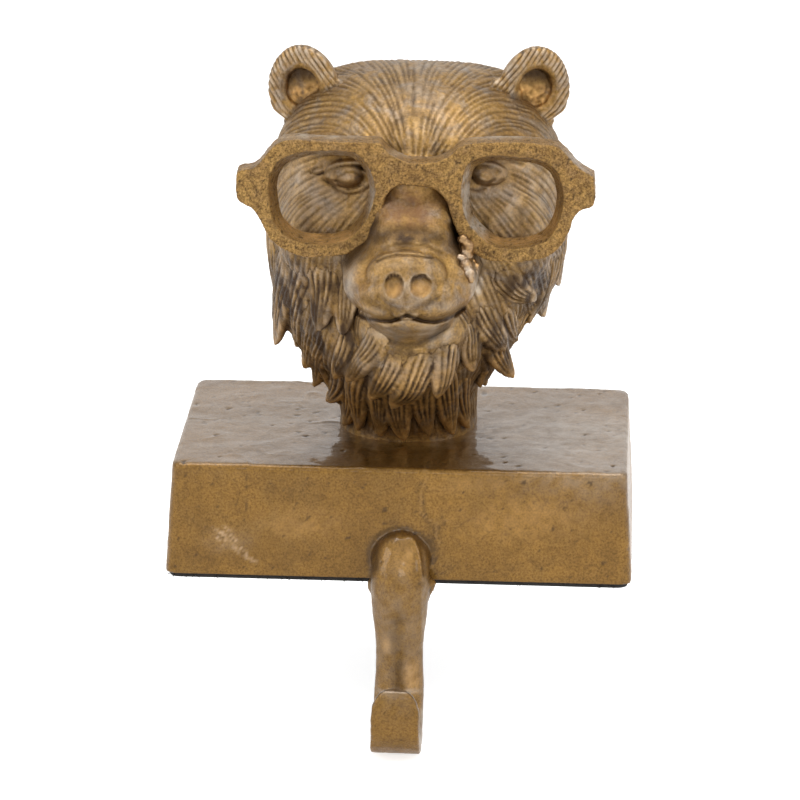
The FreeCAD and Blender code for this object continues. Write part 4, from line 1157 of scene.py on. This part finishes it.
def antique(
    name, base, warm, dark, grey, rough, fine_scale, fine_bump, coat, speckle, greying, clouds=60.0, blotches=0.4
):
    """Antique brass: warm and greyed clouds, darker blotches, a fine soft grain, and painted marks: bright gold
    for wear and painted highlights, dull copper, pale mostly for painted highlights and sheen, and dark in the
    hollows for patina, stains and some painted shade.
    """
    mat, nt, bsdf = material(name)
    coords = nt.nodes.new("ShaderNodeTexCoord").outputs["Object"]
    broad = cloud(nt, coords, clouds, 5.0, 0.62, 0.3)
    patch = cloud(nt, coords, clouds * 2.6, 5.0, 0.65, 0.6)
    blotch = cloud(nt, coords, clouds * 6.5, 6.0, 0.72, 0.8)
    fine = cloud(nt, coords, fine_scale, 4.0, 0.7)
    colour = mixed(nt, ranged(nt, broad, 0.36, 0.64), base, warm)
    colour = mixed(nt, ranged(nt, patch, 0.48, 0.68, 0.0, greying), colour, grey)
    colour = mixed(nt, ranged(nt, blotch, 0.46, 0.70, 0.0, blotches), colour, dark)
    colour = mixed(nt, ranged(nt, fine, 0.42, 0.66, 0.0, speckle), colour, dark)
    colour = mixed(nt, ranged(nt, painted(nt, "rubbed"), 0.0, 1.0, 0.0, 0.95), colour, WEAR_AND_HIGHLIGHT_GOLD)
    colour = mixed(nt, ranged(nt, painted(nt, "copper"), 0.0, 1.0, 0.0, 0.9), colour, COPPERED)
    colour = mixed(nt, ranged(nt, painted(nt, "pale"), 0.0, 1.0, 0.0, 0.72), colour, PALED)
    depth = painted(nt, "hollow")
    colour = mixed(nt, ranged(nt, depth, 0.08, 0.8, 0.0, 0.96), colour, tuple(0.45 * c for c in dark))
    nt.links.new(colour, bsdf.inputs["Base Color"])
    nt.links.new(ranged(nt, depth, 0.1, 0.7, 0.88, 0.75), bsdf.inputs["Metallic"])
    wear = nt.nodes.new("ShaderNodeMath")
    wear.operation = "ADD"
    nt.links.new(ranged(nt, blotch, 0.35, 0.7, rough - 0.06, rough + 0.14), wear.inputs[0])
    nt.links.new(ranged(nt, painted(nt, "copper"), 0.0, 1.0, 0.0, 0.2), wear.inputs[1])
    nt.links.new(wear.outputs[0], bsdf.inputs["Roughness"])
    bsdf.inputs["Coat Weight"].default_value = coat
    if coat > 0.5:
        nt.links.new(ranged(nt, painted(nt, "gloss"), 0.0, 1.0, 0.0, coat), bsdf.inputs["Coat Weight"])
    bsdf.inputs["Coat Roughness"].default_value = 0.10
    bumped(nt, bsdf, ((fine, fine_bump, 0.0002), (blotch, 0.25, 0.0003)))
    return mat


head_brass = antique(
    "carved head brass", base=(0.273, 0.155, 0.046), warm=(0.352, 0.207, 0.060),
    dark=(0.066, 0.029, 0.007), grey=(0.238, 0.194, 0.150),
    rough=0.44, fine_scale=1700.0, fine_bump=0.9, coat=0.06, speckle=0.5, greying=0.85, clouds=70.0, blotches=0.6
)
frame_brass = antique(
    "sand-cast frame brass", base=(0.340, 0.195, 0.061), warm=(0.396, 0.237, 0.075),
    dark=(0.078, 0.039, 0.013), grey=(0.258, 0.161, 0.078),
    rough=0.40, fine_scale=2400.0, fine_bump=1.5, coat=0.06, speckle=0.9, greying=0.6, clouds=110.0, blotches=0.85
)
block_brass = antique(
    "brushed block brass", base=(0.174, 0.090, 0.017), warm=(0.250, 0.131, 0.026),
    dark=(0.080, 0.037, 0.006), grey=(0.192, 0.108, 0.028),
    rough=0.38, fine_scale=2000.0, fine_bump=0.7, coat=0.75, speckle=0.75, greying=0.5, clouds=40.0
)
bead_brass = antique(
    "rough braze", base=(0.34, 0.19, 0.062), warm=(0.42, 0.25, 0.10),
    dark=(0.10, 0.05, 0.02), grey=(0.36, 0.26, 0.18),
    rough=0.36, fine_scale=1200.0, fine_bump=0.6, coat=0.2, speckle=0.6, greying=0.6
)


def felt_cloth():
    mat, nt, bsdf = material("black felt")
    coords = nt.nodes.new("ShaderNodeTexCoord").outputs["Object"]
    fuzz = cloud(nt, coords, 2500.0, 4.0, 0.7)
    nt.links.new(mixed(nt, fuzz, (0.010, 0.009, 0.008), (0.045, 0.042, 0.04)), bsdf.inputs["Base Color"])
    bsdf.inputs["Roughness"].default_value = 0.95
    bumped(nt, bsdf, ((fuzz, 0.8, 0.0003),))
    return mat


def screw_metal():
    mat, nt, bsdf = material("plain screw steel")
    coords = nt.nodes.new("ShaderNodeTexCoord").outputs["Object"]
    lines = cloud(nt, coords, 1500.0, 3.0, 0.6)
    nt.links.new(mixed(nt, lines, (0.45, 0.45, 0.46), (0.6, 0.6, 0.61)), bsdf.inputs["Base Color"])
    bsdf.inputs["Metallic"].default_value = 1.0
    bsdf.inputs["Roughness"].default_value = 0.35
    return mat


def spots(obj, places):
    """Mottled patches given in the picture, which fade out towards the back: middle, radii, strength."""
    co = points_of(obj)
    u, v = seen_at(co)
    facing = np.clip((0.45 - normals_of(obj) @ AHEAD) * 4, 0, 1) * np.clip((26 - co[:, 1]) / 24, 0, 1)
    mottled = facing * np.clip(0.72 + 0.8 * grain(co, 2.4, 31.0, 3), 0.25, 1)
    out = np.zeros(len(u))
    for cu, cv, ru, rv, strength in places:
        out = np.maximum(out, strength * soft_patch(u, v, (cu, cv), (ru, rv)) * mottled)
    return out


MOST_TRIANGLES = 190000


def finish(obj, name, node, slot, mat, **painted_values):
    """Paints a piece, thins it if it is too fine, brings it to metres and gives it its place."""
    for key, values in painted_values.items():
        mark(obj, key, np.clip(values, 0, 1))
    faces = 2 * len(obj.data.polygons)
    if faces > MOST_TRIANGLES:
        modify(obj, "DECIMATE", ratio=MOST_TRIANGLES / faces)
    put_points(obj, points_of(obj) * MM)
    obj.name = name
    only(obj)
    bpy.ops.object.shade_smooth()
    obj.data.materials.clear()
    obj.data.materials.append(mat)
    if node:
        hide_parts(node)
    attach(obj, "root")


COPPER = (
    # patches of the head, as middle, radii and strength in the picture: dull copper
    (410, 209, 34, 22, 0.95), (360, 284, 10, 16, 0.25), (466, 300, 12, 20, 0.25),
)
PALE_HIGHLIGHTS = (
    # painted pale highlights and sheen: the crown's edge, the brow, the muzzle's sides, the chin, and light
    # brought into the shade round the eyes
    (430, 66, 80, 8, 0.4), (413, 92, 26, 20, 0.35), (349, 285, 6, 26, 0.6), (477, 284, 7, 24, 0.9),
    (352, 262, 7, 14, 0.5), (480, 262, 6, 12, 0.5), (436, 334, 20, 10, 0.7), (388, 332, 20, 9, 0.6),
    (520, 213, 16, 14, 0.5), (300, 175, 20, 20, 0.35), (540, 185, 24, 34, 0.45), (490, 275, 12, 20, 0.4),
    (362, 215, 10, 26, 0.35), (400, 264, 26, 5, 0.25), (512, 345, 8, 20, 0.4), (345, 280, 10, 30, 0.3),
    (305, 200, 44, 40, 0.32), (520, 200, 46, 44, 0.36), (370, 312, 10, 6, 0.3), (446, 306, 12, 6, 0.35),
    (355, 80, 30, 14, 0.15),
)
BRIGHT = (
    # bright gold painted highlights on the brow and nose pad, light brought into the shade of the lenses, and the
    # lit lower walls of the nostrils
    (320, 195, 46, 44, 0.2), (515, 190, 46, 44, 0.22), (446, 124, 30, 16, 0.4), (392, 120, 16, 16, 0.2),
    (404, 282, 34, 22, 0.15), (393, 291, 6, 8, 0.3), (420, 291, 6, 8, 0.3),
)
# on the head, pale painted highlights also run along the ridges, and bright gold on ridges is wear and painted
# highlight
finish(
    core, "carved_head", "bear_head", "head_casting", head_brass, hollow=core_hollow,
    rubbed=np.maximum(core_rubbed, spots(core, BRIGHT) * (0.4 + 0.6 * core_ridge)),
    copper=spots(core, COPPER), pale=np.maximum(spots(core, PALE_HIGHLIGHTS), 0.35 * core_ridge) * (1 - core_hollow)
)
MANE_GOLD_HIGHLIGHTS = (
    # painted golden highlights on the mane
    (468, 424, 12, 9, 0.7), (392, 408, 8, 22, 0.4), (432, 385, 16, 16, 0.25), (388, 380, 16, 16, 0.25),
    (556, 280, 6, 12, 0.5), (275, 335, 8, 10, 0.4),
)
# bright gold on the crests at the beard, as wear and painted highlight; painted pale sheen on the crests above it
upper = np.clip((points_of(mane)[:, 2] - 46) / 14, 0, 1)
mane_crests = np.maximum(mane_ridge, np.clip(-mane_gaps * 2, 0, 0.5))
mane_sheen = 0.24 * mane_ridge + np.clip(-mane_gaps, 0, 0.25)
finish(
    mane, "mane_locks", None, "head_casting", head_brass, hollow=mane_hollow,
    rubbed=np.maximum((0.75 - 0.6 * upper) * mane_crests, spots(mane, MANE_GOLD_HIGHLIGHTS)),
    pale=upper * np.maximum(spots(mane, PALE_HIGHLIGHTS), mane_sheen) * (1 - mane_hollow)
)
for ear, name, hollow, rubbed, pale in (left_ear, right_ear):
    finish(ear, name, None, "head_casting", head_brass, hollow=hollow, rubbed=rubbed, pale=pale)
RIM_PALE = (
    # the spectacles: painted pale highlights on edges and lens walls
    (325, 153, 34, 5, 0.8), (286, 166, 14, 8, 0.4), (371, 195, 5, 28, 0.9), (465, 195, 6, 36, 1.3),
    (478, 226, 12, 12, 1.2), (297, 157, 16, 5, 0.8), (520, 157, 30, 4, 0.4), (310, 134, 60, 5, 0.7),
    (500, 134, 60, 5, 0.7), (415, 153, 30, 5, 0.6), (578, 160, 14, 20, 0.5),
)
RIM_WARM_LIGHT = (
    # painted warm light on the lower lens walls and outer edges
    (296, 226, 24, 12, 0.8), (330, 238, 34, 7, 0.9), (510, 238, 40, 8, 0.9), (550, 220, 12, 18, 0.6),
    (500, 258, 40, 5, 0.3), (268, 200, 5, 30, 0.4),
)
# the painted light goes on edges and lens walls only, not on the front face
not_front = np.clip(1.3 + normals_of(spectacles)[:, 1] * 1.5, 0, 1)
finish(
    spectacles, "cast_spectacles", "spectacles", "spectacles_casting", frame_brass, hollow=spectacles_hollow,
    pale=spots(spectacles, RIM_PALE) * not_front, rubbed=spots(spectacles, RIM_WARM_LIGHT) * not_front
)
STAINS_AND_SHADE = (
    # block and hook: dark stains, and painted shadow along the boss's left side and top
    (397, 650, 8, 50, 0.34), (374, 558, 6, 24, 0.7), (386, 536, 12, 4, 0.4), (415, 568, 3, 14, 0.4),
    (190, 560, 40, 12, 0.2), (296, 488, 40, 12, 0.22), (240, 500, 30, 10, 0.14), (596, 560, 40, 16, 0.18),
    (560, 480, 50, 10, 0.1), (398, 742, 26, 12, 0.16), (330, 540, 30, 22, 0.12),
)
WEAR_AND_SHEEN = (
    # pale: painted sheen on the block's top and the hook's stem, painted highlights along the hook's edges and the
    # lip's top, and wear at the scratched patch
    (398, 640, 26, 70, 0.16), (228, 541, 24, 12, 0.1), (590, 430, 90, 60, 0.38), (220, 415, 90, 46, 0.12),
    (423, 730, 4, 30, 0.7), (424, 620, 3, 60, 0.35), (372, 620, 3, 60, 0.25), (397, 691, 26, 3, 0.5),
)
GOLDEN = (
    # bright gold: painted highlights on the boss and the hook, and warmer patches on the block's front
    (405, 556, 9, 16, 0.3), (412, 676, 10, 14, 0.45), (300, 524, 44, 16, 0.16), (520, 520, 70, 20, 0.15),
    (470, 486, 40, 10, 0.12), (386, 646, 5, 8, 0.25),
)
finish(
    block, "block_and_hook", "base_casting", "block_casting", block_brass,
    hollow=np.maximum(block_hollow * 0.8, spots(block, STAINS_AND_SHADE)),
    pale=np.maximum(0.32 * block_ridge, spots(block, WEAR_AND_SHEEN)),
    rubbed=np.maximum(spots(block, GOLDEN), 0.35 * block_ridge), gloss=block_gloss
)
finish(
    bead, "rough_braze", "braze_bead", "braze", bead_brass, hollow=np.clip(curl(bead, 3) * 6, 0, 0.8),
    pale=spots(bead, BEAD_PALE)
)
finish(felt, "frayed_felt", "felt_pad", "felt", felt_cloth())
nodes["neck_screw"].data.materials.clear()
nodes["neck_screw"].data.materials.append(screw_metal())


# Floor, light and camera
def as_seen(nt, other, seen):
    """One shader for what the camera, gloss and glass see, the other for the light itself."""
    path = nt.nodes.new("ShaderNodeLightPath")
    mix = nt.nodes.new("ShaderNodeMixShader")
    either = path.outputs["Is Camera Ray"]
    for ray in ("Is Glossy Ray", "Is Transmission Ray"):
        most = nt.nodes.new("ShaderNodeMath")
        most.operation = "MAXIMUM"
        nt.links.new(either, most.inputs[0])
        nt.links.new(path.outputs[ray], most.inputs[1])
        either = most.outputs[0]
    nt.links.new(either, mix.inputs[0])
    nt.links.new(other, mix.inputs[1])
    nt.links.new(seen, mix.inputs[2])
    return mix.outputs[0]


FLOOR_Z = -0.0375  # just under the hook


def make_floor():
    deselect()
    bpy.ops.mesh.primitive_plane_add(size=6.0, location=(0, 1.2, FLOOR_Z))
    floor = settle(added("floor"))
    mat, nt, bsdf = material("white floor")
    bsdf.inputs["Base Color"].default_value = (0.85, 0.85, 0.85, 1)
    bsdf.inputs["Roughness"].default_value = 0.9
    bsdf.inputs["Specular IOR Level"].default_value = 0.2
    glow = nt.nodes.new("ShaderNodeEmission")
    glow.inputs[1].default_value = 0.72
    both = nt.nodes.new("ShaderNodeAddShader")
    nt.links.new(bsdf.outputs[0], both.inputs[0])
    nt.links.new(glow.outputs[0], both.inputs[1])
    out = next(n for n in nt.nodes if n.type == "OUTPUT_MATERIAL")
    nt.links.new(as_seen(nt, bsdf.outputs[0], both.outputs[0]), out.inputs[0])
    floor.data.materials.clear()
    floor.data.materials.append(mat)


def make_world():
    world = bpy.data.worlds.new("studio")
    bpy.context.scene.world = world
    world.use_nodes = True
    nt = world.node_tree
    nt.nodes.clear()
    out = nt.nodes.new("ShaderNodeOutputWorld")
    sky = nt.nodes.new("ShaderNodeBackground")
    sky.inputs[1].default_value = 0.28
    seen = nt.nodes.new("ShaderNodeBackground")
    for n in (sky, seen):
        n.inputs[0].default_value = (1, 1, 1, 1)
    nt.links.new(as_seen(nt, sky.outputs[0], seen.outputs[0]), out.inputs[0])


def lamp(name, place, aim, size, power):
    data = bpy.data.lights.new(name, "AREA")
    data.shape = "RECTANGLE"
    data.size, data.size_y = size
    data.energy = power
    obj = bpy.data.objects.new(name, data)
    bpy.context.scene.collection.objects.link(obj)
    obj.location = place
    obj.rotation_euler = (Vector(aim) - Vector(place)).to_track_quat("-Z", "Y").to_euler()


make_floor()
make_world()
LAMPS = (
    # place, what it points at, size, power
    ("back softbox", (0.0, 1.5, 0.62), (0, 0, 0.05), (2.2, 0.9), 0.5),
    ("top softbox", (0.0, 0.0, 1.0), (0, 0, 0.05), (0.8, 0.6), 7.0),
    ("left softbox", (-0.85, -0.45, 0.5), (0, 0, 0.05), (0.4, 0.7), 3.9),
    ("right softbox", (0.85, -0.35, 0.55), (0, 0, 0.05), (0.4, 0.7), 3.3),
    ("front fill", (0.15, -1.2, 0.5), (0, 0, 0.04), (0.5, 0.3), 2.2),
)
for entry in LAMPS:
    lamp(*entry)

camera_data = bpy.data.cameras.new("camera")
camera_data.sensor_width = 36.0
camera_data.lens = FOCAL * 36.0 / (2 * MIDDLE)
camera_data.clip_start = 0.01
camera = bpy.data.objects.new("camera", camera_data)
bpy.context.scene.collection.objects.link(camera)
stand = Matrix(np.stack([RIGHT, UP, -AHEAD], 1).tolist()).to_4x4()
camera.matrix_world = Matrix.Translation(Vector(EYE * MM)) @ stand
bpy.context.scene.camera = camera
bpy.context.scene.view_settings.view_transform = "Standard"
